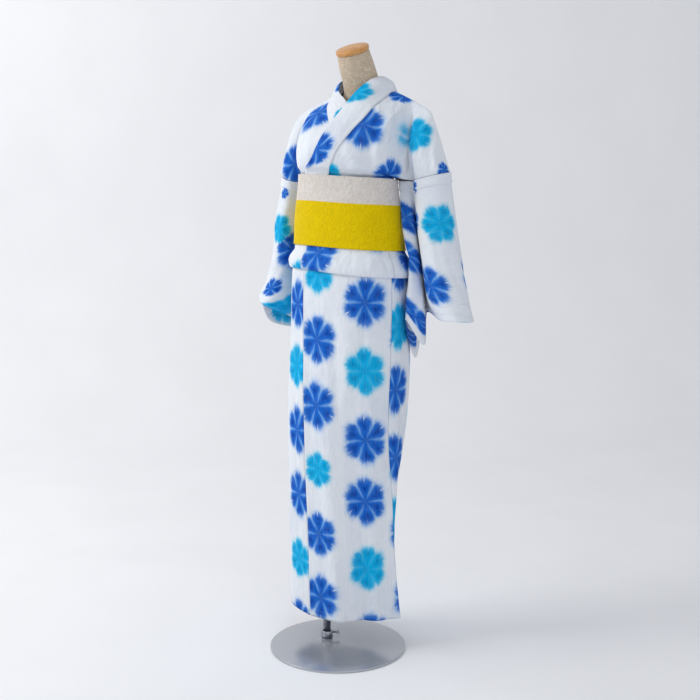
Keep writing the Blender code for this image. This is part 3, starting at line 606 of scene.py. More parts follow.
def creases(table, place, height):
    """Distance out that soft troughs and ridges give at each place."""
    found = np.zeros(np.broadcast(place, height).shape)
    for x0, z0, x1, z1, wide, deep in table:
        run = np.array((x1 - x0, z1 - z0))
        share = ((place - x0) * run[0] + (height - z0) * run[1]) / (run @ run)
        inside = np.clip(share, 0.0, 1.0)
        gap = np.hypot(place - x0 - inside * run[0], height - z0 - inside * run[1])
        fade = ease(inside, 0.0, 0.3) * ease(1 - inside, 0.0, 0.3)
        found += deep / 1000 * swell(gap, 0.0, wide / 1000) * fade
    return found


def arc_table(table):
    """The same creases with their angles turned into metres round the body."""
    turn = math.radians(1) * MEAN_RADIUS
    return [(a * turn, z0, b * turn, z1, wide, deep) for a, z0, b, z1, wide, deep in table]


# ---------------------------------------------------------------- meshes

def add_mesh(name, points, faces, finish, uvs=None):
    """Smooth-shaded mesh object of one material, with its UV map in metres where it has one."""
    mesh = bpy.data.meshes.new(name)
    mesh.from_pydata(np.asarray(points, float).reshape(-1, 3).tolist(), [], faces)
    if uvs is not None:
        layer = mesh.uv_layers.new(name="UVMap")
        layer.data.foreach_set("uv", np.asarray(uvs, np.float32).ravel())
    mesh.materials.append(finish)
    mesh.shade_smooth()
    made = bpy.data.objects.new(name, mesh)
    bpy.context.scene.collection.objects.link(made)
    return made


def place_piece(made, slot, *nodes):
    """Gives a piece its body and hides the nodes that it stands for; its slot is not used."""
    if nodes:
        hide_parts(*nodes)
    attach(made, "root")
    return made


def net_faces(rows, columns, ring=False, keep=None):
    """Quads between a net's points, and each quad's corners as (row, column)."""
    quads, corners = [], []
    for i in range(rows - 1):
        for j in range(columns if ring else columns - 1):
            if keep is None or keep(i, j):
                around = [(i, j), (i, j + 1), (i + 1, j + 1), (i + 1, j)]
                quads.append(tuple(row * columns + column % columns for row, column in around))
                corners += around
    return quads, corners


def flower_places(name, across, along):
    """Middles, dyes, sizes and widths of a sheet's flowers, its table's first, then its net's."""
    column, half, _, table = FLOWERS[name]
    placed = np.array([row[:2] for row in table], float)
    moved = placed - np.array([(row[2] * column, row[3] * half) for row in table])
    middle = moved.mean(axis=0)
    low = [across.min() - middle[0] - column, along.min() - middle[1] - half]
    high = [across.max() - middle[0] + column, along.max() - middle[1] + half]
    places = list(placed)
    kinds = [row[4] == "turquoise" for row in table]
    sizes = [row[5] for row in table]
    widths = [row[6] if len(row) > 6 else 1.0 for row in table]
    for i in range(math.floor(low[0] / column), math.ceil(high[0] / column) + 1):
        for m in range(math.floor(low[1] / half), math.ceil(high[1] / half) + 1):
            corner = np.array((i * column, m * half))
            weight = 1 / (((placed - corner - middle) ** 2).sum(axis=1) + 1e-4) ** 2
            place = corner + (weight[:, None] * moved).sum(axis=0) / weight.sum()
            clear = np.hypot(*(placed - place).T).min() > LEAST_FLOWER_GAP
            if (i + m) % 2 == 0 and clear:
                places.append(place)
                kinds.append((m - 3 * i) % 6 == 0)
                sizes.append(REPEAT_SIZE)
                widths.append(1.0)
    return np.array(places), np.array(kinds), np.array(sizes), np.array(widths)


def round_offsets(points, rows, columns, at):
    """Offsets of points from some of a net's own points, measured flat on the cloth round each."""
    middle, every = points[rows, columns], normals(points)
    around = [np.linalg.norm(points - spot, axis=-1) < NEAR_CLOTH for spot in middle]
    outward = np.array([every[near].mean(axis=0) for near in around])
    outward /= np.linalg.norm(outward, axis=1, keepdims=True)
    up = np.array((0.0, 0.0, 1.0)) - outward * outward[:, 2:]
    up /= np.linalg.norm(up, axis=1, keepdims=True)
    offset = at[:, None] - middle[None]
    x = (offset * np.cross(up, outward)).sum(axis=-1)
    y = (offset * up).sum(axis=-1)
    reach = np.linalg.norm(offset, axis=-1)
    grown = reach / np.maximum(np.hypot(x, y), 1e-6)
    grown = np.where(reach > FAR_CLOTH, grown, np.minimum(grown, MOST_GROWTH))
    return np.stack([x, y], axis=-1) * grown[..., None]


def dye_faces(name, points, across, along, corners):
    """Each face's nearest flower: its corners measured from that flower's middle, and its dye."""
    found = flower_places(name, across, along)
    on_body = name.startswith("body")
    if on_body:
        places = found[0]
        gaps = np.hypot(across.ravel()[None] - places[:, :1], along.ravel()[None] - places[:, 1:])
        rows, columns = np.unravel_index(gaps.argmin(axis=1), across.shape)
        spots, kept = points[rows, columns], []
        for i, spot in enumerate(spots):
            clear = all(np.linalg.norm(spot - spots[j]) > BODY_FLOWER_GAP for j in kept)
            if i < len(FLOWERS[name][3]) or (gaps[i].min() < BODY_FLOWER_OFF and clear):
                kept.append(i)
        found = [item[kept] for item in found]
    places, kinds, sizes, widths = found
    wide, long = FLOWERS[name][2]
    stretch = np.stack([wide / widths, long + 0 * widths], axis=-1)
    chance = np.random.default_rng(len(name))
    turn = chance.uniform(-MOST_TURN, MOST_TURN, len(places))
    sizes = sizes * chance.uniform(*SIZE_SPREAD, len(places))
    rows_at, columns_at = corners.T
    if on_body:
        at = points[rows_at, columns_at]
        offsets = round_offsets(points, rows[kept], columns[kept], at)
    else:
        corner = np.stack([across, along], axis=-1)[rows_at, columns_at]
        offsets = corner[:, None] - places[None]
    offsets = offsets * stretch[None] / sizes[None, :, None]
    far = (offsets.reshape(-1, 4, *offsets.shape[1:]).mean(axis=1) ** 2).sum(axis=-1)
    nearest = far.argmin(axis=1)
    own = np.repeat(nearest, 4)
    x, y = offsets[np.arange(len(own)), own].T
    cos, sin = np.cos(turn[own]), np.sin(turn[own])
    return np.stack([x * cos - y * sin, x * sin + y * cos], axis=-1), kinds[nearest]


def add_cloth(node, points, uv, thick, finish, slot="white_cotton", dyed=True, **net):
    """Thin sheet on a net of points, standing for a node, with a UV map along its threads."""
    quads, corners = net_faces(*points.shape[:2], **net)
    index = np.array(corners)
    made = add_mesh("robe_" + node, points, quads, finish, uv[index[:, 0], index[:, 1]])
    if dyed:
        petals, kinds = dye_faces(node, points, uv[..., 0], uv[..., 1], index)
        layer = made.data.uv_layers.new(name="Flowers")
        layer.data.foreach_set("uv", petals.astype(np.float32).ravel())
        dye = made.data.attributes.new("dye_turquoise", "FLOAT", "FACE")
        dye.data.foreach_set("value", kinds.astype(np.float32))
    used = {corner for quad in quads for corner in quad}
    if len(used) < len(made.data.vertices):
        drop_unused(made, used)
    wall = made.modifiers.new("Cloth thickness", "SOLIDIFY")
    wall.thickness = thick
    wall.offset = 0.0
    return place_piece(made, slot, node)


def drop_unused(made, used):
    """Deletes the points of a mesh that no face uses."""
    net = bmesh.new()
    net.from_mesh(made.data)
    net.verts.ensure_lookup_table()
    spare = [vertex for vertex in net.verts if vertex.index not in used]
    bmesh.ops.delete(net, geom=spare, context="VERTS")
    net.to_mesh(made.data)
    net.free()


def tube_through(name, loops, finish):
    """Closed solid through rings of points, with flat ends."""
    loops = np.asarray(loops, float)
    rings, count = loops.shape[:2]
    quads, _ = net_faces(rings, count, ring=True)
    last = (rings - 1) * count
    faces = quads + [tuple(range(count))[::-1], tuple(range(last, last + count))]
    return add_mesh(name, loops, faces, finish)


def arc(middle, wide, high, count, step):
    """Points of a profile's rounded edge, from beside its middle up, a step of degrees apart."""
    turns = [math.radians(step * number) for number in range(1, count + 1)]
    return [(middle[0] + wide * math.cos(turn), middle[1] + high * math.sin(turn))
            for turn in turns]


def turned_rings(profile, count, place):
    """Rings of points round an axis, one for each (radius, height) of a profile."""
    turn = np.linspace(0, 2 * math.pi, count, endpoint=False)
    rings = []
    for radius, z in profile:
        flat = np.stack([radius * np.cos(turn), radius * np.sin(turn), np.full(count, z)], axis=-1)
        rings.append([tuple(place @ Vector(point)) for point in flat])
    return rings


def turned_piece(name, profile, count, place, finish, slot, node):
    """Closed solid turned from a profile, standing for a node."""
    made = tube_through(name, turned_rings(profile, count, place), finish)
    return place_piece(made, slot, node)


# ---------------------------------------------------------------- materials

class Flow:
    """A number in a material's node tree, on which plain arithmetic adds math nodes."""

    def __init__(self, tree, socket):
        self.tree = tree
        self.socket = socket

    def join(self, target, value):
        """Links a socket to a number of the tree, or sets it to a fixed one."""
        if isinstance(value, Flow):
            self.tree.links.new(value.socket, target)
        else:
            target.default_value = value

    def math(self, operation, *others):
        node = self.tree.nodes.new("ShaderNodeMath")
        node.operation = operation
        for target, value in zip(node.inputs, (self, *others)):
            self.join(target, value)
        return Flow(self.tree, node.outputs[0])

    def __add__(self, other):
        return self.math("ADD", other)

    def __sub__(self, other):
        return self.math("SUBTRACT", other)

    def __mul__(self, other):
        return self.math("MULTIPLY", other)

    def __truediv__(self, other):
        return self.math("DIVIDE", other)

    def smooth(self, start, end, low=0.0, high=1.0):
        """Eases from low to high as this number goes from start to end."""
        node = self.tree.nodes.new("ShaderNodeMapRange")
        node.interpolation_type = "SMOOTHSTEP"
        for target, value in zip(node.inputs, (self, start, end, low, high)):
            self.join(target, value)
        return Flow(self.tree, node.outputs[0])


def new_material(name, roughness, **sockets):
    """Material with one Principled shader, whose fixed numbers are set on its own sockets."""
    made = bpy.data.materials.new(name)
    made.use_nodes = True
    shader = made.node_tree.nodes["Principled BSDF"]
    shader.inputs["Roughness"].default_value = roughness
    for socket, value in sockets.items():
        shader.inputs[socket.replace("_", " ")].default_value = value
    return made, made.node_tree, shader


def darker(colour, share):
    return (*(part * share for part in colour[:3]), 1.0)


def coordinates(tree, kind, scale=(1, 1, 1), turn=(0, 0, 0), shift=(0, 0, 0)):
    source = tree.nodes.new("ShaderNodeTexCoord")
    mapping = tree.nodes.new("ShaderNodeMapping")
    mapping.inputs["Location"].default_value = shift
    mapping.inputs["Rotation"].default_value = [math.radians(angle) for angle in turn]
    mapping.inputs["Scale"].default_value = scale
    tree.links.new(source.outputs[kind], mapping.inputs["Vector"])
    return mapping.outputs["Vector"]


def parts_of(tree, vector):
    node = tree.nodes.new("ShaderNodeSeparateXYZ")
    tree.links.new(vector, node.inputs[0])
    return [Flow(tree, socket) for socket in node.outputs]


def noise(tree, vector, scale, detail=2.0, rough=0.5, distort=0.0):
    node = tree.nodes.new("ShaderNodeTexNoise")
    node.inputs["Scale"].default_value = scale
    node.inputs["Detail"].default_value = detail
    node.inputs["Roughness"].default_value = rough
    node.inputs["Distortion"].default_value = distort
    tree.links.new(vector, node.inputs["Vector"])
    return Flow(tree, node.outputs["Fac"])


def cloth_noise(tree, *numbers, **mapping):
    """Noise along a cloth's threads, stretched or moved by a mapping of its UV map."""
    return noise(tree, coordinates(tree, "UV", **mapping), *numbers)


def attribute(tree, name):
    node = tree.nodes.new("ShaderNodeAttribute")
    node.attribute_name = name
    return Flow(tree, node.outputs["Fac"])


def blend_colour(tree, share, first, second):
    node = tree.nodes.new("ShaderNodeMix")
    node.data_type = "RGBA"
    for number, value in ((0, share), (6, first), (7, second)):
        target = node.inputs[number]
        if isinstance(value, Flow):
            tree.links.new(value.socket, target)
        elif hasattr(value, "links"):
            tree.links.new(value, target)
        else:
            target.default_value = value
    return node.outputs[2]


def bump(tree, shader, height, distance, strength=1.0):
    node = tree.nodes.new("ShaderNodeBump")
    node.inputs["Strength"].default_value = strength
    node.inputs["Distance"].default_value = distance
    tree.links.new(height.socket, node.inputs["Height"])
    tree.links.new(node.outputs["Normal"], shader.inputs["Normal"])


# Snow flower: petals, how far their tips and their frayed edges reach in and out, and how many
# streaks cross a petal and a metre of cloth. Then where each mask starts and ends, in shares of
# the flower's radius, and the widths of its thin lines in metres, at the middle and at the edge.
PETALS = 6
TIP_IN = 0.62
FRAY = 0.28
STREAKS = (5.0, 1.3, 9.0)
DYE_EDGE = (0.04, -0.17)
HALO_EDGE = (0.19, -0.10)
NOTCH_WIDE = (0.74, 1.0, 0.0004, 0.0034)
NOTCH_REACH = (0.68, 0.82)
RAY_WIDE = (0.05, 0.95, 0.0034, 0.0100)
RAY_REACH = (0.02, 0.50, 0.15, 1.0)
GAP_WIDE = (0.52, 1.02, 0.0001, 0.0110)
GAP_REACH = (0.56, 0.84)
HEART_WIDE = (0.004, 0.018)
HEART_REACH = (0.04, 0.30)
HEART_END = (1.0, 0.50)
HEART_MIDDLE = (0.38, 0.04)


def snow_flower(tree, x, y, u, v, radius):
    """Masks of one six-petal tied and dyed flower: dye, halo, tip notches, rays, gaps, hearts."""
    away = (x * x + y * y).math("SQRT")
    turn = y.math("ARCTAN2", x) * (PETALS / (2 * math.pi)) + float(PETALS)
    side = (turn.math("FRACT") - 0.5).math("ABSOLUTE")
    reach = away / radius
    petal_share = 2 * math.pi / PETALS
    across_tip = side * away * petal_share
    across_ray = (side * -1.0 + 0.5) * away * petal_share
    round_, outward, along = STREAKS
    streak = tree.nodes.new("ShaderNodeCombineXYZ")
    places = (turn * round_ + u * along, reach * outward, v * along)
    for socket, value in zip(streak.inputs, places):
        tree.links.new(value.socket, socket)
    fringe = noise(tree, streak.outputs[0], 1.5, 3.0, 0.65) - 0.5
    inside = reach - ((side * side * -TIP_IN) + 1.0) + fringe * FRAY
    dye = inside.smooth(*DYE_EDGE)
    halo = inside.smooth(*HALO_EDGE)
    notch = (across_tip / reach.smooth(*NOTCH_WIDE)).smooth(1.0, 0.30)
    notch = notch * reach.smooth(*NOTCH_REACH)
    ray = (across_ray / reach.smooth(*RAY_WIDE) + fringe * 0.5).smooth(1.0, -0.10)
    ray = ray * reach.smooth(*RAY_REACH)
    gap = (across_ray / reach.smooth(*GAP_WIDE) + fringe * 1.2).smooth(1.0, 0.25)
    gap = gap * reach.smooth(*GAP_REACH)
    heart = across_ray.smooth(*HEART_WIDE) * reach.smooth(*HEART_END) * reach.smooth(*HEART_REACH)
    heart = heart + reach.smooth(*HEART_MIDDLE) * 0.50
    return dye, halo, notch, ray, gap, heart


# Cotton: how far a flower's outline wanders, how much less a turquoise flower reaches, and the
# colour of the weave's shaded threads. Belt: half width of the band's edge, and the pale piping
# over it. Then the colours of aged linen and of the wood's pores.
WANDER = 0.012
TURQUOISE_LESS = 0.0040
THREAD_SHADE = (0.36, 0.40, 0.48, 1)
BAND_SOFT = 0.0004
PIPING_UP = 0.0010
PIPING_WIDE = (0.0012, 0.0005)
PIPING_COLOUR = (0.78, 0.70, 0.55, 1)
LINEN_AGE = (0.40, 0.31, 0.20, 1)
WOOD_PORES = (0.16, 0.07, 0.02, 1)


def dyed_cotton(settings):
    """White crepe cotton, tied and dyed with blue and turquoise snow flowers."""
    made, tree, shader = new_material("dyed_cotton", 0.85, Specular_IOR_Level=0.05)
    flat = coordinates(tree, "UV")
    u, v, _ = parts_of(tree, flat)
    wander = noise(tree, flat, 24.0, 2.0)
    waver = cloth_noise(tree, 24.0, 2.0, shift=(3.1, 1.7, 0))
    petals = tree.nodes.new("ShaderNodeUVMap")
    petals.uv_map = "Flowers"
    x, y, _ = parts_of(tree, petals.outputs[0])
    x = x + (wander - 0.5) * WANDER
    y = y + (waver - 0.5) * WANDER
    turquoise = attribute(tree, "dye_turquoise").smooth(0.45, 0.55)
    radius = turquoise * -TURQUOISE_LESS + settings.flower_size / 2
    dye, halo, notch, ray, gap, heart = snow_flower(tree, x, y, u, v, radius)
    cloud = noise(tree, flat, 62.0, 3.0)
    haze = cloth_noise(tree, 7.0, 3.0, shift=(7.7, 2.2, 0))
    tinted = haze.smooth(0.42, 0.74)
    cloth = blend_colour(tree, tinted, settings.cotton_colour, settings.haze_colour)
    pale = blend_colour(tree, turquoise, settings.pale_blue, settings.pale_turquoise)
    deep = blend_colour(tree, turquoise, settings.deep_blue, settings.deep_turquoise)
    main = blend_colour(tree, turquoise, settings.dye_blue, settings.dye_turquoise)
    tone = blend_colour(tree, heart * cloud.smooth(0.32, 0.60, 0.25, 1.0), main, deep)
    reach = (x * x + y * y).math("SQRT") / radius
    washed = blend_colour(tree, reach.smooth(0.66, 1.05) * 0.50, tone, pale)
    rays = blend_colour(tree, ray * (turquoise * -0.40 + 0.74), washed, pale)
    edge = blend_colour(tree, halo * 0.48, cloth, pale)
    dyed = blend_colour(tree, dye * cloud.smooth(0.10, 0.40, 0.88, 1.0), edge, rays)
    opened = blend_colour(tree, gap * dye * (turquoise * -0.45 + 0.85), dyed, edge)
    patch = cloth_noise(tree, 34.0, 1.0, shift=(1.3, 5.9, 0)).smooth(0.38, 0.55)
    notched = blend_colour(tree, notch * dye * patch * (turquoise * -0.5 + 0.98), opened, cloth)
    thread = cloth_noise(tree, 520.0, 3.0, 0.7, scale=(1.0, 0.03, 1.0))
    woven = blend_colour(tree, thread.smooth(0.46, 0.72) * 0.16, notched, THREAD_SHADE)
    tree.links.new(woven, shader.inputs["Base Color"])
    slub = cloth_noise(tree, 360.0, 3.0, 0.7, scale=(1.0, 0.07, 1.0))
    soft = cloth_noise(tree, 34.0, 3.0, 0.55, 0.6, scale=(1.0, 0.40, 1.0))
    bump(tree, shader, slub * 1.1 + soft * 8.0, 0.00075)
    return made


def belt_cloth(settings):
    """Figured belt cloth: yellow with a silver-beige band along its top, both finely crinkled, with
    painted shade in the crinkles' hollows.
    """
    made, tree, shader = new_material("figured_belt_cloth", 0.55, Specular_IOR_Level=0.06)
    flat = coordinates(tree, "UV")
    _, v, _ = parts_of(tree, flat)
    grain = cloth_noise(tree, 460.0, 4.0, 0.65, 2.2, scale=(1.0, 0.60, 1.0))
    crinkle = cloth_noise(tree, 150.0, 3.0, 0.6, 1.6, scale=(1.0, 0.35, 1.0))
    ring = tree.nodes.new("ShaderNodeTexVoronoi")
    ring.inputs["Scale"].default_value = 15.0
    ring.inputs["Randomness"].default_value = 0.55
    tree.links.new(flat, ring.inputs["Vector"])
    rings = (Flow(tree, ring.outputs["Distance"]) * 74.0).math("SINE")
    # Painted shade: where the grain and crinkle that raise the bump lie low, the colour turns to
    # the darker colours. The rings are the cloth's own faint figure.
    figure_and_shade = (grain * 0.65 + crinkle * 0.35).smooth(0.38, 0.62) * (rings * 0.07 + 0.93)
    band = v.smooth(BAND_Z - BAND_SOFT, BAND_Z + BAND_SOFT)
    piping = (v - (BAND_Z + PIPING_UP)).math("ABSOLUTE").smooth(*PIPING_WIDE)
    low = blend_colour(tree, figure_and_shade, settings.main_painted_shade, settings.main_colour)
    high = blend_colour(tree, figure_and_shade, settings.band_painted_shade, settings.band_colour)
    cloth = blend_colour(tree, band, low, high)
    lined = blend_colour(tree, piping * 0.5, cloth, PIPING_COLOUR)
    tree.links.new(lined, shader.inputs["Base Color"])
    tree.links.new((figure_and_shade * -0.16 + 0.60).socket, shader.inputs["Roughness"])
    bump(tree, shader, grain * 1.3 + crinkle * 1.6 + rings * 0.10, 0.0011)
    return made


def plain_linen(settings):
    """Natural linen cover with uneven threads both ways, with painted shade in the weave's hollows.
    """
    made, tree, shader = new_material("natural_linen", 0.88, Sheen_Weight=0.10,
                                      Specular_IOR_Level=0.2)
    down = cloth_noise(tree, 1150.0, 2.0, 0.6, scale=(1.0, 0.06, 1.0))
    over = cloth_noise(tree, 1150.0, 2.0, 0.6, scale=(0.06, 1.0, 1.0))
    slub = cloth_noise(tree, 210.0, 3.0, 0.65)
    weave = down.math("MAXIMUM", over)
    # Painted shade: threads that lie low in the weave get the darker colour, and raised ones the
    # lighter.
    raised = weave.smooth(0.46, 0.70)
    shade = blend_colour(tree, raised, settings.linen_painted_shade, settings.linen_colour)
    aged = blend_colour(tree, slub.smooth(0.50, 0.72) * 0.22, shade, LINEN_AGE)
    tree.links.new(aged, shader.inputs["Base Color"])
    bump(tree, shader, weave + slub * 0.3, 0.0003, 0.6)
    return made


def varnished_wood(settings):
    """Orange-brown varnished wood with long grain across the cap."""
    made, tree, shader = new_material("varnished_wood", 0.38, Coat_Weight=0.25, Coat_Roughness=0.22)
    lie = (-CAP_TILT, 0, 12)
    long = coordinates(tree, "Object", scale=(10.0, 90.0, 90.0), turn=lie)
    grain = noise(tree, long, 3.2, 5.0, 0.6, 1.4)
    fine = coordinates(tree, "Object", scale=(60.0, 900.0, 900.0), turn=lie)
    pores = noise(tree, fine, 1.0, 2.0, 0.5)
    shade = blend_colour(tree, grain.smooth(0.36, 0.66), settings.wood_shade, settings.wood_colour)
    dark = blend_colour(tree, pores.smooth(0.56, 0.72) * 0.55, shade, WOOD_PORES)
    tree.links.new(dark, shader.inputs["Base Color"])
    bump(tree, shader, grain + pores * 0.5, 0.0002, 0.5)
    return made


MARKS_FINE = 900.0


def brushed_metal(name, colour, centre, rough, metallic=1.0):
    """Steel with fine marks that run round an upright axis."""
    made, tree, shader = new_material(name, 0.34, Metallic=metallic)
    x, y, z = parts_of(tree, coordinates(tree, "Object", shift=(-centre[0], -centre[1], 0)))
    away = (x * x + y * y).math("SQRT")
    spot = tree.nodes.new("ShaderNodeCombineXYZ")
    for number, value in enumerate((away, z)):
        tree.links.new((value * MARKS_FINE).socket, spot.inputs[number])
    marks = noise(tree, spot.outputs[0], 1.6, 3.0, 0.7)
    cloud = noise(tree, coordinates(tree, "Object"), 14.0, 3.0)
    shade = blend_colour(tree, marks.smooth(0.3, 0.7), darker(colour, 0.72), colour)
    tree.links.new(shade, shader.inputs["Base Color"])
    tree.links.new((marks * 0.10 + cloud * 0.08 + rough).socket, shader.inputs["Roughness"])
    bump(tree, shader, marks, 0.00006, 0.5)
    return made


def matt(name, colour, roughness):
    """Plain finish, a little uneven."""
    made, tree, shader = new_material(name, roughness)
    cloud = noise(tree, coordinates(tree, "Object"), 3.0, 3.0)
    shade = blend_colour(tree, cloud.smooth(0.2, 0.8), darker(colour, 0.97), colour)
    tree.links.new(shade, shader.inputs["Base Color"])
    return made


# ---------------------------------------------------------------- settings

def colour_setting(name, description, default):
    return bpy.props.FloatVectorProperty(name=name, description=description, default=default,
                                         size=4, min=0.0, max=1.0, subtype="COLOR")


def size_setting(name, description, default, least, most, unit="LENGTH"):
    return bpy.props.FloatProperty(name=name, description=description, default=default,
                                   min=least, max=most, unit=unit)


def angle_setting(name, description, default):
    return bpy.props.FloatProperty(name=name, description=description,
                                   default=math.radians(default), subtype="ANGLE")


class YukataClothSettings(bpy.types.PropertyGroup):
    """Cloth of the robe and its dye."""

    cloth_thick: size_setting("Cloth Thickness", "Thickness of the robe's cotton",
                              0.0009, 0.0003, 0.003)
    collar_thick: size_setting("Collar Thickness", "Thickness of the folded collar",
                               0.0020, 0.0008, 0.004)
    flower_size: size_setting("Flower Size", "Width of a blue dyed flower", 0.124, 0.05, 0.16)
    cotton_colour: colour_setting("Cotton", "Undyed cotton", (0.78, 0.815, 0.865, 1))
    haze_colour: colour_setting("Cotton Haze", "Faint tint of the undyed cotton",
                                (0.70, 0.75, 0.83, 1))
    dye_blue: colour_setting("Blue Dye", "Main colour of the blue flowers", (0.008, 0.135, 0.60, 1))
    deep_blue: colour_setting("Deep Blue", "Heart of a blue petal", (0.002, 0.050, 0.34, 1))
    pale_blue: colour_setting("Pale Blue", "Rays and bleeding edge of the blue dye",
                              (0.20, 0.44, 0.80, 1))
    dye_turquoise: colour_setting("Turquoise Dye", "Main colour of the turquoise flowers",
                                  (0.0, 0.42, 0.78, 1))
    deep_turquoise: colour_setting("Deep Turquoise", "Heart of a turquoise petal",
                                   (0.0, 0.27, 0.56, 1))
    pale_turquoise: colour_setting("Pale Turquoise", "Rays and bleeding edge of the turquoise dye",
                                   (0.12, 0.60, 0.80, 1))


class YukataStitchSettings(bpy.types.PropertyGroup):
    """Hand stitches of the robe."""

    stitch_step: size_setting("Stitch Step", "Distance from one stitch to the next",
                              0.0060, 0.002, 0.03)
    stitch_length: size_setting("Stitch Length", "Length of thread that shows",
                                0.0018, 0.0005, 0.01)
    thread_width: size_setting("Thread Width", "Width of the sewing thread", 0.0004, 0.0001, 0.001)
    seed: bpy.props.IntProperty(
        name="Seed", description="Seed of the uneven stitch lengths", default=7, min=0)
    thread_colour: colour_setting("Thread", "White cotton thread", (0.80, 0.83, 0.87, 1))


class YukataBeltSettings(bpy.types.PropertyGroup):
    """Cloth of the belt."""

    belt_thick: size_setting("Belt Thickness", "Thickness of the belt's doubled cloth",
                             0.0022, 0.001, 0.004)
    main_colour: colour_setting("Main Colour", "Lower, wider part of the belt",
                                (0.95, 0.69, 0.0, 1))
    # Painted shade: a darker yellow laid in the crinkles' hollows, where shade falls.
    main_painted_shade: colour_setting("Main Shade", "Hollows of the lower part", (0.70, 0.50, 0.0, 1))
    band_colour: colour_setting("Band Colour", "Band along the belt's top", (0.86, 0.82, 0.78, 1))
    # Painted shade: a darker beige laid in the band's hollows, where shade falls.
    band_painted_shade: colour_setting("Band Shade", "Hollows of the band", (0.64, 0.58, 0.52, 1))


class YukataFormSettings(bpy.types.PropertyGroup):
    """Finishes of the dress form and its stand."""

    linen_colour: colour_setting("Linen", "Raised threads of the linen cover",
                                 (0.76, 0.65, 0.52, 1))
    # Painted shade: the darker colour laid in the weave's hollows, where shade falls.
    linen_painted_shade: colour_setting("Linen Shade", "Hollows of the linen cover", (0.46, 0.36, 0.25, 1))
    wood_colour: colour_setting("Wood", "Light grain of the neck cap", (0.78, 0.42, 0.13, 1))
    wood_shade: colour_setting("Wood Shade", "Dark grain of the neck cap", (0.50, 0.20, 0.045, 1))
    steel_colour: colour_setting("Steel", "Brushed steel of the stand", (0.60, 0.63, 0.68, 1))


class YukataStageSettings(bpy.types.PropertyGroup):
    """Camera, floor and light."""

    azimuth: angle_setting("Camera Azimuth", "Angle from the robe's front to the camera", 35.0)
    distance: size_setting("Camera Distance",
                           "Distance from the base's middle to the camera, in plan", 2.60, 1.0, 8.0)
    height: size_setting("Camera Height", "Height of the camera over the floor", 1.082, 0.1, 3.0)
    tilt: angle_setting("Camera Tilt", "How far the camera looks down", 7.5)
    aside: size_setting("Camera Offset", "How far the camera stands to its own right",
                        0.030, -1.0, 1.0)
    lens: size_setting("Lens", "Focal length on a 36 mm sensor", 56.31, 20.0, 200.0, "NONE")
    floor_colour: colour_setting("Floor", "Pale floor and backdrop", (0.90, 0.905, 0.92, 1))
    key_power: size_setting("Key Light", "Power of the soft light from the upper left",
                            60.0, 0.0, 500.0, "POWER")
    air: size_setting("Studio Air", "Strength of the even light all round", 0.56, 0.0, 3.0, "NONE")
    backdrop_power: size_setting("Backdrop Light", "Power of the light on the backdrop",
                                 27.0, 0.0, 1000.0, "POWER")
    fill_power: size_setting("Fill Light", "Power of the soft light from the front",
                             20.0, 0.0, 500.0, "POWER")


# ---------------------------------------------------------------- cloth of the skirt and tuck

def skirt_layer(angle, z):
    """How far the skirt's cloth lies out: it sinks under where the overlap covers it."""
    sunk = ease(angle, SINK_START, SINK_END)
    waist = ease(z, *SKIRT_WAIST)
    return mix(mix(*SKIRT_OUT_OVER, waist), mix(*SKIRT_OUT_UNDER, waist), sunk)


# Skirt panels: node, seams at both sides, under the overlap or not, width as cut
SKIRT_PANELS = (
    ("skirt_front_left", OKUMI_SEAM, SIDE_SEAM, False, 0.240),
    ("skirt_okumi_left", OKUMI_EDGE, OKUMI_SEAM, False, 0.150),
    ("skirt_back_left", SIDE_SEAM, BACK_SEAM, False, 0.270),
    ("skirt_back_right", BACK_SEAM, UNDER_SIDE_SEAM, False, 0.300),
    ("skirt_front_right", UNDER_SIDE_SEAM, UNDER_FRONT_EDGE, True, 0.240),
    ("skirt_okumi_right", UNDER_FRONT_EDGE, UNDER_OKUMI_EDGE, True, 0.150),
)

# Height over which the outer overlap's edge is lifted, and the angle past which creases start again
LIFT_HIGH = 0.30
UNDER_LAP_FROM = 300.0


def skirt_net(start, end, under_lap, lift):
    """Net of a skirt panel's points, from the hem up."""
    z = levels(HEM_Z, SKIRT_TOP_Z, round((SKIRT_TOP_Z - HEM_Z) / LENGTH_STEP) + 1)[:, None]
    first = curve(SEAM_Z, start, z[:, 0])[:, None]
    last = curve(SEAM_Z, end, z[:, 0])[:, None]
    spread = math.radians(abs(end[0] - start[0])) * MEAN_RADIUS
    share = levels(0.0, 1.0, round(spread / CLOTH_STEP) + 1)[None, :]
    angle = mix(first, last, share)
    out = skirt_layer(np.full_like(angle, 360.0) if under_lap else angle, z)
    rise = lift * (1 - share) * (1 - ease(z, HEM_Z, HEM_Z + LIFT_HIGH))
    place = np.radians(angle - 360.0 * (angle > UNDER_LAP_FROM)) * MEAN_RADIUS
    out = out + creases(arc_table(SKIRT_CREASES), place, z + 0 * angle)
    edge = np.minimum(share, 1 - share) * spread
    out = out + SEAM_RAISED * swell(edge, SEAM_IN, SEAM_WIDE)
    out = out + HEM_RAISED * (1 - ease(z, *(HEM_Z + high for high in SKIRT_HEM)))
    return section_point(angle, z + rise, out)


def make_skirt(finish, cloth):
    """Six panels, from the hem up under the belt, with their sewn lines."""
    for node, start, end, under_lap, width in SKIRT_PANELS:
        lift = OKUMI_LIFT if node == "skirt_okumi_left" else 0.0
        points = skirt_net(start, end, under_lap, lift)
        across = lengths(points, 1)
        if node == "skirt_okumi_left":
            across = across - across[:, -1:]
        uv = np.stack([across, points[..., 2]], axis=-1)
        made = add_cloth(node, points, uv, cloth.cloth_thick, finish)
        sewn = [("row", 3)]
        if "okumi" in node:
            sewn.append(("column", 3 if node == "skirt_okumi_left" else -4))
        sew(node, points, cloth.cloth_thick, sewn)


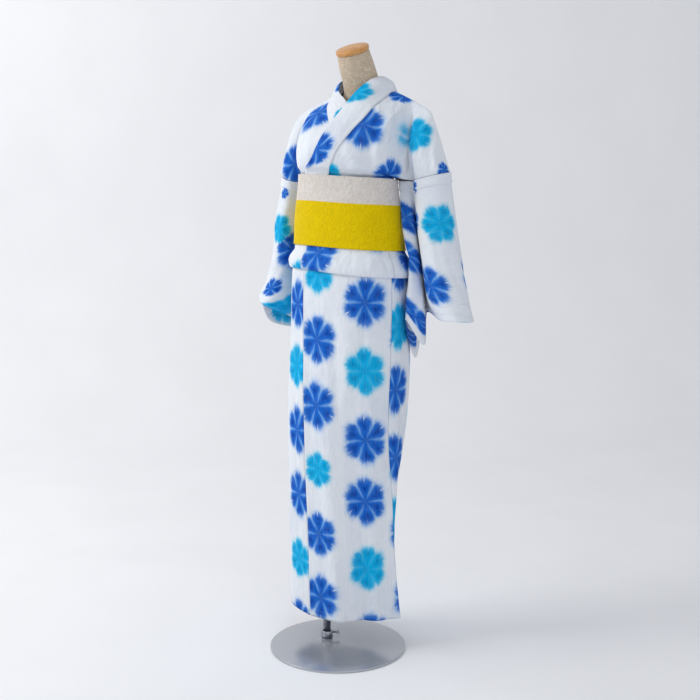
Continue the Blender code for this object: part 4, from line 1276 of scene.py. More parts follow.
# Tuck panels: node, seams, width of the cut that shows
TUCK_PANELS = (
    ("tuck_okumi", OKUMI_EDGE[-1], OKUMI_SEAM[-1], 0.110),
    ("tuck_front", OKUMI_SEAM[-1], SIDE_SEAM[-1], 0.240),
    ("tuck_back_left", SIDE_SEAM[-1], BACK_SEAM[-1], 0.270),
    ("tuck_back_right", BACK_SEAM[-1], 360.0 + OKUMI_EDGE[-1], 0.220),
)
TUCK_CREASES = (
    (-60.0, 0.962, -66.0, 0.935, 7.0, 2.4),
    (-20.0, 0.968, -8.0, 0.938, 8.0, -2.2),
    (14.0, 0.972, 24.0, 0.932, 7.0, 2.1),
    (40.0, 0.970, 34.0, 0.940, 6.0, -2.1),
    (58.0, 0.972, 52.0, 0.934, 6.0, 2.5),
    (68.0, 0.968, 70.0, 0.936, 5.0, -2.7),
    (104.0, 0.970, 112.0, 0.934, 9.0, 2.7),
    (132.0, 0.968, 124.0, 0.936, 8.0, -2.4),
    (166.0, 0.972, 172.0, 0.936, 9.0, 2.2),
    (214.0, 0.968, 206.0, 0.934, 8.0, -2.4),
    (248.0, 0.972, 256.0, 0.936, 9.0, 2.5),
)

# Tuck's net, heights (downwards) over which it takes the tilt, and shares of its path over which
# its creases begin
TUCK_ROWS = 45
TUCK_STEP = 0.003
TUCK_LOWERED = (-0.99, -0.95)
TUCK_SHOWN = (0.12, 0.35)


def make_tuck(finish, cloth):
    """Four panels of the fold below the belt, each down to the fold and up again behind."""
    knots = np.arange(len(TUCK_PATH))
    path = curve(knots, TUCK_PATH, levels(0, knots[-1], TUCK_ROWS))[::-1]
    z, out = path[:, :1], path[:, 1:]
    low = ease(-z, *TUCK_LOWERED)
    shown = ease(np.arange(TUCK_ROWS) / TUCK_ROWS, *TUCK_SHOWN)[:, None]
    gap = math.degrees(CLEAR / 2 / MEAN_RADIUS)
    for node, start, end, width in TUCK_PANELS:
        spread = math.radians(end - start) * MEAN_RADIUS
        angle = levels(start + gap, end - gap, round(spread / TUCK_STEP) + 1)[None, :]
        place = np.radians(angle) * MEAN_RADIUS
        relief = shown * creases(arc_table(TUCK_CREASES), place, z + 0 * angle)
        points = section_point(angle, z + low * dip(angle, TUCK_TILT), out + relief)
        across = lengths(points, 1)
        down = lengths(points, 0)
        uv = np.stack([across, down - down[-1:]], axis=-1)
        made = add_cloth(node, points, uv, cloth.cloth_thick, finish)


# ---------------------------------------------------------------- cloth of the body

def sleeve_loop(plan, heights, places):
    """Points of a sleeve's loop, a place counting its named points from the outer fold."""
    loop = [(x / 1000, y / 1000, z / 1000) for (x, y), z in zip(plan, heights)]
    knots = list(range(-3, len(loop) + 3))
    return curve(knots, loop[-3:] + loop + loop[:3], np.asarray(places) % len(loop))


# Creases of the body panels, as (across, height) at both ends, on the front and on the back
LEFT_FRONT_CREASES = (
    (0.152, 1.325, 0.150, 1.130, 7.0, -7.5),
    (0.174, 1.320, 0.184, 1.130, 9.0, 5.0),
    (0.132, 1.310, 0.134, 1.150, 9.0, 3.5),
    (0.112, 1.320, 0.108, 1.170, 8.0, -3.0),
    (0.204, 1.310, 0.226, 1.130, 7.0, -4.0),
    (0.218, 1.300, 0.240, 1.130, 5.0, 3.0),
    (0.118, 1.160, 0.094, 1.235, 9.0, -3.2),
    (0.098, 1.156, 0.066, 1.215, 8.0, 2.6),
    (0.074, 1.158, 0.044, 1.200, 9.0, -2.4),
    (0.132, 1.165, 0.118, 1.215, 7.0, 2.6),
    (0.090, 1.285, 0.128, 1.240, 12.0, -2.2),
    (0.060, 1.275, 0.104, 1.236, 10.0, 1.8),
    (0.105, 1.322, 0.160, 1.300, 10.0, 1.8),
)
RIGHT_FRONT_CREASES = (
    (0.142, 1.290, 0.144, 1.165, 8.0, -5.5),
    (0.165, 1.285, 0.172, 1.160, 10.0, 4.0),
    (0.085, 1.165, 0.114, 1.235, 9.0, 2.6),
    (0.118, 1.160, 0.134, 1.225, 8.0, -2.8),
    (0.100, 1.290, 0.128, 1.318, 9.0, -2.0),
    (0.070, 1.270, 0.110, 1.215, 11.0, 2.0),
)
BACK_CREASES = (
    (0.030, 1.170, 0.042, 1.300, 12.0, 2.4),
    (0.070, 1.165, 0.088, 1.270, 11.0, -3.0),
    (0.105, 1.170, 0.120, 1.300, 12.0, 3.0),
    (0.140, 1.175, 0.160, 1.290, 9.0, -3.3),
    (0.185, 1.180, 0.195, 1.260, 9.0, 2.7),
    (0.215, 1.170, 0.222, 1.220, 8.0, -2.1),
)


# Net of half a body panel: fine columns to each named one, rows from the shoulder line down to
# the belt, and heights of the rows under the belt
BODICE_FINE = 5
BODICE_ROWS = 66
UNDER_BELT_Z = (1.146, 1.120, 1.085)

# Angles over which the under front comes out from under the over front, and shares of a panel's
# length over which it settles on the belt's top and its creases start and end
UNDER_LAP_ANGLES = (24.0, 40.0)
SETTLE = (0.95, 1.0)
CREASES_FROM = (0.0, 0.12)
CREASES_TO = (0.90, 1.0)
ARM_EDGE_OUT = 0.0006


def bodice_half(side, facing, shoulder, armhole, edges, out, folds):
    """Net of one half panel, from the shoulder line down to its end under the belt."""
    table = CHEST_Y if facing < 0 else BACK_Y
    under = facing < 0 and side < 0
    total = ARMPIT_COLUMN + OUTER_COLUMNS
    column = levels(0, total, BODICE_FINE * total + 1)
    inner = ARMPIT_SHARE * column / ARMPIT_COLUMN
    outer = mix(ARMPIT_SHARE, 1.0, (column - ARMPIT_COLUMN) / OUTER_COLUMNS)
    along = np.where(column < ARMPIT_COLUMN, inner, outer)
    tops = curve(levels(0, 1, len(shoulder)), shoulder, along)

    def waist_out(angle):
        if not under:
            return np.full_like(angle, WAIST_BODICE_OVER)
        return mix(WAIST_BODICE_UNDER, WAIST_BODICE_OVER, ease(angle, *UNDER_LAP_ANGLES))

    angles = levels(*edges, ARMPIT_COLUMN)
    belt_z = BELT_TOP_Z + dip(side * angles, BELT_TILT) + BODICE_HELD
    held_row = section_side(side, angles, belt_z, waist_out(angles))
    step = np.arange(OUTER_COLUMNS + 1) / 3
    ring = sleeve_loop(*armhole, 3 - step if facing < 0 else 6 + step) + (0, 0, 3 * CLEAR)
    lows = curve(np.arange(total + 1), np.concatenate([held_row, ring]), column)

    t = levels(0, 1, BODICE_ROWS)[1:, None]
    belted = 1 - ease(column, ARMPIT_COLUMN - 1, ARMPIT_COLUMN)[None, :]
    x, z = (mix(tops[None, :, axis], lows[None, :, axis], t) for axis in (0, 2))
    if facing > 0:
        times, shares, zs = zip(*BACK_NECK, (1.0, lows[0, 0] / shoulder[0][0], lows[0, 2]))
        away = (1 - column[None, :] / column[-1]) ** 3
        bow = np.interp(t, times, shares) - mix(shares[0], shares[-1], t)
        x = x + away * bow * shoulder[0][0]
        z = z + away * (np.interp(t, times, zs) - mix(zs[0], zs[-1], t))
        x = np.maximum(x, lows[0, 0])
    points = worn_point(table, facing, x, z, out, WAIST_BODICE_OVER, side, belted)
    top_y, low_y = (chest_point(table, line[:, 0], line[:, 2], out, facing)[:, 1]
                    for line in (tops, lows))
    points[..., 1] += (tops[:, 1] - top_y)[None, :] * (1 - t) ** 3
    points[..., 1] += (1 - belted) * (lows[:, 1] - low_y)[None, :] * t**3
    settle = belted * ease(t, *SETTLE)
    points = mix(points, lows[None], settle[..., None])
    points[:, -1, 1] = mix(tops[-1, 1], lows[-1, 1], t[:, 0]) + facing * ARM_EDGE_OUT
    relief = creases(folds, x, z) * ease(t, *CREASES_FROM) * (1 - ease(t, *CREASES_TO))
    points[..., 1] += facing * relief
    rows = [tops[None], points]
    angle_fine = curve(np.arange(ARMPIT_COLUMN), angles, np.minimum(column, ARMPIT_COLUMN - 1))
    for height in UNDER_BELT_Z:
        rows.append(section_side(side, angle_fine, height, waist_out(angle_fine))[None])
    return np.concatenate(rows) * (side, 1, 1)


BODY_PANELS = (
    ("body_left", 1, LEFT_SHOULDER, (LEFT_SLEEVE[0], LEFT_SLEEVE_Z[0]), OVER_FRONT_ANGLE,
     CHEST_FRONT_OVER, LEFT_FRONT_CREASES),
    ("body_right", -1, RIGHT_SHOULDER, (RIGHT_SLEEVE[0], RIGHT_SLEEVE_Z[0]), UNDER_FRONT_ANGLE,
     CHEST_FRONT_UNDER, RIGHT_FRONT_CREASES),
)


def make_body(finish, cloth):
    """Two panels, each in one over the shoulder, from the belt in front to the belt behind."""
    for node, side, shoulder, armhole, front_angle, out, folds in BODY_PANELS:
        front = bodice_half(side, -1, shoulder, armhole, (front_angle, FRONT_SIDE_ANGLE),
                            out, folds)
        back = bodice_half(side, 1, shoulder, armhole, (BACK_EDGE_ANGLE, BACK_SIDE_ANGLE),
                           0.0, BACK_CREASES)
        low = len(UNDER_BELT_Z)
        points = np.concatenate([front[::-1], back[1:]])
        rows, columns = points.shape[:2]
        armpit = (ARMPIT_COLUMN - 1) * BODICE_FINE

        def keep(i, j):
            column = j if side > 0 else columns - 2 - j
            return low <= i < rows - 1 - low or column < armpit

        across = lengths(points, 1)
        across = across - across[:, -1:]
        along = lengths(points, 0)
        along = along - along[len(front) - 1]
        uv = np.stack([across, along], axis=-1)
        if side < 0:
            points, uv = points[:, ::-1], uv[:, ::-1]
        made = add_cloth(node, points, uv, cloth.cloth_thick, finish, keep=keep)


# Collar's net: columns over its width, rows of its under, over and neck parts, and the step of the
# finished rows. Then where over its width it comes down on the bodies, and its sewn line.
COLLAR_COLUMNS = 17
UNDER_ROWS, OVER_ROWS, NECK_ROWS = 50, 90, 60
COLLAR_STEP = 0.0045
COLLAR_DOWN = (0.45, 1.0)
EDGE_DOWN = (0.35, 1.0)
EDGE_GAP = 0.0019
EDGE_MOST = 0.0075
EDGE_PASSES = 6
COLLAR_LINE_IN = 0.0110
COLLAR_LINE_WIDE = 0.0024
COLLAR_LINE_DEEP = 0.0010


def collar_net():
    """Net of the collar's points, from its end under the belt, round the neck, to its other end."""
    shares = levels(0.0, 1.0, COLLAR_COLUMNS)[None, :]
    parts = []
    for table, roll_out, edge_out, waist_out, count in (
        (UNDER_COLLAR[::-1], CHEST_COLLAR_UNDER, CHEST_FRONT_UNDER, WAIST_BODICE_OVER, UNDER_ROWS),
        (OVER_COLLAR, CHEST_COLLAR_OVER, CHEST_FRONT_OVER, WAIST_COLLAR_OVER, OVER_ROWS),
    ):
        out = mix(roll_out, edge_out + COLLAR_SEAT, ease(shares, *COLLAR_DOWN))
        line = curve(levels(0, 1, len(table)), table, levels(0, 1, count))
        x, z = (mix(line[:, place, None], line[:, place + 2, None], shares) for place in (0, 1))
        parts.append(worn_point(CHEST_Y, -1, x, z, out, waist_out))
    ring = [(360.0 - line[0], *line[1:]) for line in NECK_COLLAR] + list(NECK_COLLAR[::-1][1:])
    line = curve(levels(0, 1, len(ring)), ring, levels(0, 1, NECK_ROWS))
    roll = COLLAR_ROLL * np.sin(math.pi * shares)
    radius = mix(line[:, 1:2], line[:, 3:4], shares) + roll
    turn = np.radians(line[:, 0:1])
    x = NECK_CENTRE[0] + radius * np.sin(turn)
    y = NECK_CENTRE[1] - radius * np.cos(turn)
    around = np.stack([x, y, mix(line[:, 2:3], line[:, 4:5], shares) + roll], axis=-1)
    joined = np.concatenate([parts[0], around, parts[1]])
    knots = lengths(joined, 0).mean(axis=1)
    return curve(knots, joined, np.arange(0, knots[-1], COLLAR_STEP))


def seat_edge(points, names):
    """Eases a net down, towards its last column, until that edge lies just off the named pieces."""
    meshes = [bpy.data.objects[name].data for name in names]
    under = [BVHTree.FromPolygons([vertex.co for vertex in mesh.vertices],
                                  [face.vertices for face in mesh.polygons]) for mesh in meshes]
    pulls = []
    for edge in points[:, -1]:
        found = [tree.find_nearest(edge) for tree in under]
        spot, _, _, off = min(found, key=lambda item: item[3])
        pull = min(max(off - EDGE_GAP, 0.0), EDGE_MOST)
        pulls.append((np.array(spot) - edge) * pull / max(off, EDGE_GAP))
    pulls = np.array(pulls)
    for _ in range(EDGE_PASSES):
        pulls[1:-1] = (pulls[:-2] + 2.0 * pulls[1:-1] + pulls[2:]) / 4.0
    shares = levels(0.0, 1.0, points.shape[1])[None, :]
    return points + pulls[:, None, :] * ease(shares, *EDGE_DOWN)[..., None]


def make_collar(finish, cloth):
    """Folded band, crossed in front and standing off the nape, with its sewn line."""
    points = seat_edge(collar_net(), ("robe_body_left", "robe_body_right"))
    across = lengths(points, 1)
    along = lengths(points, 0).mean(axis=1, keepdims=True) + 0 * across
    wide = across[:, -1:]
    line = swell(wide - across, COLLAR_LINE_IN, COLLAR_LINE_WIDE)
    points = points + normals(points) * (-COLLAR_LINE_DEEP * line)[..., None]
    uv = np.stack([across, along - along[-1]], axis=-1)
    made = add_cloth("collar", points, uv, cloth.collar_thick, finish)
    sew("collar", points, cloth.collar_thick, [("column", -2)])


# ---------------------------------------------------------------- belt and sleeves

# Belt's ends round the waist, where its outer end rises over its start, and its net
BELT_ENDS = (165.0, 553.0)
BELT_RISE = (500.0, 521.0)
BELT_RISE_GAP = 0.0007
BELT_COLUMNS = 330
BELT_ROWS = 42
BELT_CREASES = (
    (0.70, 1.120, 0.76, 1.060, 12.0, 0.5),
    (0.86, 1.020, 0.90, 1.070, 14.0, -0.5),
    (0.96, 1.130, 1.00, 1.040, 9.0, 0.5),
    (0.50, 1.110, 0.56, 1.030, 12.0, -0.5),
)


def make_belt(finish, thick):
    """One turn round the waist, its end over its start."""
    angle = levels(*BELT_ENDS, BELT_COLUMNS)[None, :]
    z = levels(BELT_LOW_Z, BELT_TOP_Z, BELT_ROWS)[:, None]
    rise = (thick + BELT_RISE_GAP) * ease(angle, *BELT_RISE)
    place = np.radians(angle) * MEAN_RADIUS
    ripple = creases(BELT_CREASES, place, z + 0 * angle)
    points = section_point(angle, z + dip(angle, BELT_TILT), WAIST_BELT + rise + ripple)
    uv = np.stack([lengths(points, 1), z + 0 * angle], axis=-1)
    made = add_cloth("belt", points, uv, thick, finish, "belt_cloth", dyed=False)


# Creases of the sleeves, as (place round the loop in metres, distance down in metres)
LEFT_SLEEVE_CREASES = (
    (0.180, 0.050, 0.168, 0.300, 11.0, -4.2),
    (0.232, 0.030, 0.262, 0.310, 10.0, 3.6),
    (0.288, 0.050, 0.312, 0.300, 9.0, -3.6),
    (0.210, 0.150, 0.222, 0.330, 8.0, -2.2),
    (0.030, 0.030, 0.050, 0.300, 9.0, 2.4),
    (0.085, 0.050, 0.075, 0.250, 8.0, -2.1),
    (0.330, 0.040, 0.350, 0.220, 9.0, 2.4),
    (0.420, 0.060, 0.440, 0.280, 10.0, -2.7),
    (0.500, 0.040, 0.520, 0.300, 9.0, 2.4),
)
RIGHT_SLEEVE_CREASES = (
    (0.150, 0.040, 0.158, 0.260, 9.0, 2.6),
    (0.205, 0.050, 0.222, 0.280, 10.0, -3.4),
    (0.035, 0.040, 0.060, 0.260, 9.0, -2.4),
    (0.090, 0.050, 0.080, 0.220, 8.0, 2.1),
    (0.260, 0.040, 0.300, 0.280, 9.0, -2.4),
    (0.370, 0.060, 0.400, 0.260, 10.0, 2.7),
)
SLEEVES = (
    ("sleeve_left", 1, LEFT_SLEEVE, LEFT_SLEEVE_Z, LEFT_SLEEVE_CREASES, (0.56, 0.33)),
    ("sleeve_right", -1, RIGHT_SLEEVE, RIGHT_SLEEVE_Z, RIGHT_SLEEVE_CREASES, (0.46, 0.30)),
)

# Net of a sleeve: fine columns to each named place, rows of the band at the armhole and of the rest
SLEEVE_FINE = 16
BAND_KNOT = 0.25
BAND_ROWS = 26
SLEEVE_ROWS = 80

# Band at the armhole and hem at the mouth: the band's depth and how far it stands out, the ridges
# at its top and beside its seam, and the groove past the seam
ARM_BAND = 0.0225
BAND_EDGE = 0.0012
BAND_RAISED = 0.0022
RIDGE_RAISED = 0.0010
RIDGE_WIDE = 0.0016
RIDGE_FROM_TOP = 0.0024
RIDGE_FROM_SEAM = 0.0030
GROOVE_WIDE = 0.0020
GROOVE_FROM_SEAM = 0.002
SLEEVE_HEM = (0.010, 0.012)


def sleeve_net(plan, heights):
    """Net of a sleeve's points, from its armhole down, round from the seam at its inner back."""
    count = len(SLEEVE_COLUMNS)
    seam = SLEEVE_COLUMNS.index("back_in")
    places = (seam + levels(0, count, SLEEVE_FINE * count + 1)[:-1]) % count
    around = [sleeve_loop(*loop, places) for loop in zip(plan, heights)]
    rows = np.concatenate([levels(0, BAND_KNOT, BAND_ROWS)[:-1],
                           levels(BAND_KNOT, len(plan) - 1, SLEEVE_ROWS)])
    return curve(np.arange(len(plan)), around, rows)


def make_sleeves(finish, cloth):
    """Two hanging sleeves, each a loop from the seam at its inner back, with its sewn lines."""
    for node, side, plan, heights, folds, cut in SLEEVES:
        points = sleeve_net(plan, heights)
        down = lengths(points, 0)
        closed = np.concatenate([points, points[:, :1]], axis=1)
        around = lengths(closed, 1)
        relief = creases(folds, around[:, :-1], down)
        band = BAND_RAISED * (1 - ease(down, ARM_BAND - BAND_EDGE, ARM_BAND))
        past = down - ARM_BAND
        ridges = swell(past, -RIDGE_FROM_SEAM, RIDGE_WIDE) + swell(down, RIDGE_FROM_TOP, RIDGE_WIDE)
        groove = swell(past, GROOVE_FROM_SEAM, GROOVE_WIDE)
        seam = RIDGE_RAISED * ridges - RIDGE_RAISED * groove
        hem = HEM_RAISED * (1 - ease(down[-1:] - down, *SLEEVE_HEM))
        points = points + normals(points, ring=True) * (relief + band + seam + hem)[..., None]
        down = np.concatenate([down, down[:, :1]], axis=1)
        uv = np.stack([down, around], axis=-1)
        band_row = int(np.searchsorted(down[:, 0], ARM_BAND - RIDGE_FROM_SEAM))
        sewn = [("row", 2), ("row", band_row), ("row", -3)]
        sew(node, points, cloth.cloth_thick, sewn, True, side)
        if side < 0:
            points, uv = points[::-1] * (-1, 1, 1), uv[::-1]
        made = add_cloth(node, points, uv, cloth.cloth_thick, finish, ring=True)


# ---------------------------------------------------------------- stitches

SEWN = {}
STITCH_OUT = 0.0001


def sew(node, points, thick, lines, ring=False, side=1):
    """Keeps a net's sewn lines, each a ("row" or "column", number), moved to its outer face."""
    outward = normals(points, ring)
    away = points - points.reshape(-1, 3).mean(axis=0)
    raised = points + outward * np.sign((outward * away).sum()) * (thick / 2 + STITCH_OUT)
    raised = raised * (side, 1, 1)
    SEWN[node] = [raised[number] if kind == "row" else raised[:, number] for kind, number in lines]


STITCH_INPUTS = (("Geometry", "Geometry"), ("Stitch Step", "Float"), ("Stitch Length", "Float"),
                 ("Thread Width", "Float"), ("Seed", "Int"), ("Thread", "Material"))
STITCH_NODES = {
    "given": "NodeGroupInput",
    "line": "GeometryNodeMeshToCurve",
    "even": "GeometryNodeResampleCurve",
    "half": "ShaderNodeMath",
    "thread": "GeometryNodeMeshCylinder",
    "along": "GeometryNodeInputTangent",
    "aim": "FunctionNodeAlignRotationToVector",
    "chance": "FunctionNodeRandomValue",
    "lay": "GeometryNodeInstanceOnPoints",
    "whole": "GeometryNodeRealizeInstances",
    "dress": "GeometryNodeSetMaterial",
    "made": "NodeGroupOutput",
}
STITCH_LINKS = (
    ("given", "Geometry", "line", "Mesh"),
    ("line", "Curve", "even", "Curve"),
    ("given", "Stitch Step", "even", "Length"),
    ("even", "Curve", "lay", "Points"),
    ("given", "Thread Width", "half", 0),
    ("half", 0, "thread", "Radius"),
    ("given", "Stitch Length", "thread", "Depth"),
    ("thread", "Mesh", "lay", "Instance"),
    ("along", "Tangent", "aim", "Vector"),
    ("aim", "Rotation", "lay", "Rotation"),
    ("given", "Seed", "chance", "Seed"),
    ("lay", "Instances", "whole", "Geometry"),
    ("whole", "Geometry", "dress", "Geometry"),
    ("given", "Thread", "dress", "Material"),
    ("dress", "Geometry", "made", "Geometry"),
)
STITCH_SCALES = (0.8, 1.2)
THREAD_SIDES = 6


def stitch_group():
    """Geometry Nodes that lay a short thread at every step along lines, with a fixed seed."""
    group = bpy.data.node_groups.new("hand_stitches", "GeometryNodeTree")
    for label, kind in STITCH_INPUTS:
        group.interface.new_socket(label, in_out="INPUT", socket_type="NodeSocket" + kind)
    group.interface.new_socket("Geometry", in_out="OUTPUT", socket_type="NodeSocketGeometry")
    node = {name: group.nodes.new(kind) for name, kind in STITCH_NODES.items()}
    node["even"].mode = "LENGTH"
    node["half"].operation = "MULTIPLY"
    node["half"].inputs[1].default_value = 0.5
    node["thread"].inputs["Vertices"].default_value = THREAD_SIDES
    node["aim"].axis = "Z"
    node["chance"].data_type = "FLOAT"
    ends = [socket for socket in node["chance"].inputs
            if socket.enabled and socket.name in ("Min", "Max")]
    for socket, value in zip(ends, STITCH_SCALES):
        socket.default_value = value
    for start, given, end, taken in STITCH_LINKS:
        group.links.new(node[start].outputs[given], node[end].inputs[taken])
    scatter = next(socket for socket in node["chance"].outputs if socket.enabled)
    group.links.new(scatter, node["lay"].inputs["Scale"])
    return group


def make_stitches(settings):
    """One mesh of hand stitches for each sewn sheet."""
    group = stitch_group()
    thread = matt("cotton_thread", settings.thread_colour, 0.8)
    values = {"Stitch Step": settings.stitch_step, "Stitch Length": settings.stitch_length,
              "Thread Width": settings.thread_width, "Seed": settings.seed, "Thread": thread}
    for node, lines in SEWN.items():
        starts = np.cumsum([0] + [len(line) for line in lines])
        edges = [(start + i, start + i + 1) for start, line in zip(starts, lines)
                 for i in range(len(line) - 1)]
        mesh = bpy.data.meshes.new("stitch_lines")
        mesh.from_pydata(np.concatenate(lines).tolist(), edges, [])
        made = bpy.data.objects.new("robe_stitches_" + node, mesh)
        bpy.context.scene.collection.objects.link(made)
        modifier = made.modifiers.new("Hand stitches", "NODES")
        modifier.node_group = group
        for item in group.interface.items_tree:
            if item.in_out == "INPUT" and item.name in values:
                modifier[item.identifier] = values[item.name]
        bpy.context.view_layer.update()
        graph = bpy.context.evaluated_depsgraph_get()
        sewn = bpy.data.meshes.new_from_object(made.evaluated_get(graph))
        made.modifiers.remove(modifier)
        made.data = sewn
        place_piece(made, "white_cotton")


# ---------------------------------------------------------------- dress form and stand

FORM_COLUMNS = 120
FORM_ROWS = 110
FORM_IN = 0.0008
FORM_ROUND = 0.30


def form_ring(turn, z, cx, cy, wide, deep, lean):
    """Oval ring of the dress form, leaning forwards by an angle."""
    ahead = -deep * np.cos(turn)
    lean = math.radians(lean)
    return np.stack([cx + wide * np.sin(turn), cy + ahead * math.cos(lean),
                     z + ahead * math.sin(lean)], axis=-1)


def make_form(finish):
    """Torso and neck, with the robe's own section at the waist."""
    turn = np.linspace(0, 2 * math.pi, FORM_COLUMNS, endpoint=False)
    rings = [form_ring(turn, *line) for line in FORM_LOW]
    rings += [section_point(np.degrees(turn), z, -FORM_IN) for z in FORM_WAIST_Z]
    rings += [form_ring(turn, *line) for line in FORM_HIGH]
    last = len(rings) - 3
    smooth = curve(np.arange(last + 1), rings[2:], levels(0, last, FORM_ROWS))
    loops = np.concatenate([rings[:2], smooth])
    made = tube_through("form_torso", loops, finish)
    layer = made.data.uv_layers.new(name="UVMap")
    count = FORM_COLUMNS
    for polygon in made.data.polygons:
        for loop in polygon.loop_indices:
            vertex = made.data.loops[loop].vertex_index
            step = vertex % count
            if step == 0 and polygon.index % count == count - 1:
                step = count
            layer.data[loop].uv = (step / count * FORM_ROUND, made.data.vertices[vertex].co.z)
    place_piece(made, "linen_cover", "dress_form")


# Turned edges: the cap's foot as (in from its rim, up), the socket's top as (in, down), and the
# lever's knob as (out from its shaft, back from its end)
CAP_FOOT = ((0.0020, 0.0), (0.0006, 0.0006), (0.0, 0.0020))
CAP_BREAK = 0.0004
SOCKET_TOP = ((0.0, 0.0014), (0.0005, 0.0004), (0.0014, 0.0))
LEVER_KNOB = ((0.0, 0.0060), (0.0008, 0.0054), (0.0010, 0.0048), (0.0010, 0.0012),
              (0.0006, 0.0004), (0.0, 0.0))
LEVER_DOWN = 0.0055
BASE_BREAK = 0.0004
BASE_RIM = 0.0012


def make_neck_cap(finish):
    """Wooden cap on the leaning neck."""
    lean = Matrix.Rotation(math.radians(CAP_TILT), 4, "X")
    seat = Matrix.Translation(Vector(CAP_SEAT)) @ lean @ Matrix.Translation((0, 0, CLEAR))
    profile = [(CAP_RADIUS - inward, up) for inward, up in CAP_FOOT]
    profile.append((CAP_RADIUS, CAP_RIM - CAP_BREAK))
    profile += arc((0.0, CAP_RIM), CAP_RADIUS, CAP_DOME, 16, 5)
    turned_piece("form_neck_cap", profile, 96, seat, finish, "cap_wood", "neck_cap")


def ring_solid(name, profile, count, place, finish):
    """Closed solid turned from an outline that stands off its axis."""
    rings = turned_rings(profile + profile[:1], count, place)
    quads, _ = net_faces(len(profile) + 1, count, ring=True)
    total = len(profile) * count
    faces = [tuple(corner % total for corner in quad) for quad in quads]
    return add_mesh(name, np.asarray(rings[:-1]), faces, finish)


def make_stand(steel):
    """Round base, and on it the socket, the pole and the clamp lever."""
    plate = [(BASE_RADIUS - BASE_BREAK, 0.0), (BASE_RADIUS, BASE_BREAK),
             (BASE_RADIUS, BASE_THICK - BASE_RIM)]
    plate += arc((BASE_RADIUS - BASE_RIM, BASE_THICK - BASE_RIM), BASE_RIM, BASE_RIM, 4, 22.5)
    dull = brushed_metal("base_steel", darker(steel, 0.86), (0, 0), 0.12, 0.45)
    turned_piece("stand_base", plate, 160, Matrix.Identity(4), dull, "brushed_steel", "base_plate")
    finish = brushed_metal("pole_steel", steel, (POLE_X, POLE_Y), 0.26)
    foot = Matrix.Translation((POLE_X, POLE_Y, BASE_THICK + CLEAR))
    bore = POLE_RADIUS + CLEAR
    rounded = [(SOCKET_RADIUS - inward, SOCKET_HIGH - down) for inward, down in SOCKET_TOP]
    socket = [(bore, 0.0), (SOCKET_RADIUS, 0.0), *rounded, (bore, SOCKET_HIGH)]
    made = ring_solid("stand_socket", socket, 64, foot, finish)
    place_piece(made, "brushed_steel", "base_socket")
    top = FORM_LOW[0][0] - BASE_THICK - 2 * CLEAR
    pole = [(POLE_RADIUS, 0.0), (POLE_RADIUS, top)]
    turned_piece("stand_pole", pole, 64, foot, finish, "brushed_steel", "pole")
    aside = Matrix.Rotation(math.radians(90), 4, "Y")
    turn = Matrix.Rotation(math.radians(LEVER_TURN), 4, "Z") @ aside
    high = BASE_THICK + CLEAR + SOCKET_HIGH - LEVER_DOWN
    middle = Matrix.Translation((POLE_X, POLE_Y, high))
    reach = Matrix.Translation((0, 0, SOCKET_RADIUS + CLEAR))
    lever = [(LEVER_RADIUS, 0.0)]
    lever += [(LEVER_RADIUS + out, LEVER_LONG - back) for out, back in LEVER_KNOB]
    turned_piece("stand_lever", lever, 32, middle @ turn @ reach, finish,
                 "brushed_steel", "clamp_lever")


# ---------------------------------------------------------------- stage

def make_camera(stage):
    """Camera at its angle round the robe, looking a little down."""
    data = bpy.data.cameras.new("view_camera")
    data.sensor_width = 36.0
    data.lens = stage.lens
    made = bpy.data.objects.new("view_camera", data)
    x = stage.distance * math.sin(stage.azimuth) + stage.aside * math.cos(stage.azimuth)
    y = -stage.distance * math.cos(stage.azimuth) + stage.aside * math.sin(stage.azimuth)
    made.location = (x, y, stage.height)
    made.rotation_euler = Euler((math.pi / 2 - stage.tilt, 0.0, stage.azimuth))
    bpy.context.scene.collection.objects.link(made)
    bpy.context.scene.camera = made


# Soft square lights: name, place, the place it faces, width, its power's setting, colour
LIGHTS = (
    ("key_light", (-2.2, -2.0, 2.8), (0, 0.05, 0.8), 1.7, "key_power", (1.0, 0.985, 0.96)),
    ("fill_light", (2.8, -2.0, 1.8), (0, 0.05, 0.9), 2.0, "fill_power", (0.94, 0.97, 1.0)),
    ("backdrop_light", (-3.6, -0.4, 3.2), (-0.9, 3.0, 0.9), 1.6, "backdrop_power",
     (1.0, 0.99, 0.98)),
)
AIR_COLOUR = (0.93, 0.95, 1.0, 1)

# Floor and backdrop in one sheet: half its width, its front and back, its bend and its height
FLOOR_HALF = 9.0
FLOOR_FRONT = -6.0
BACKDROP_AWAY = 3.2
BACKDROP_BEND = 1.2
BACKDROP_HIGH = 6.0


def make_area_light(name, place, target, size, power, colour):
    data = bpy.data.lights.new(name, "AREA")
    data.shape = "RECTANGLE"
    data.size = data.size_y = size
    data.energy = power
    data.color = colour
    made = bpy.data.objects.new(name, data)
    made.location = place
    made.rotation_euler = (Vector(target) - Vector(place)).to_track_quat("-Z", "Y").to_euler()
    bpy.context.scene.collection.objects.link(made)


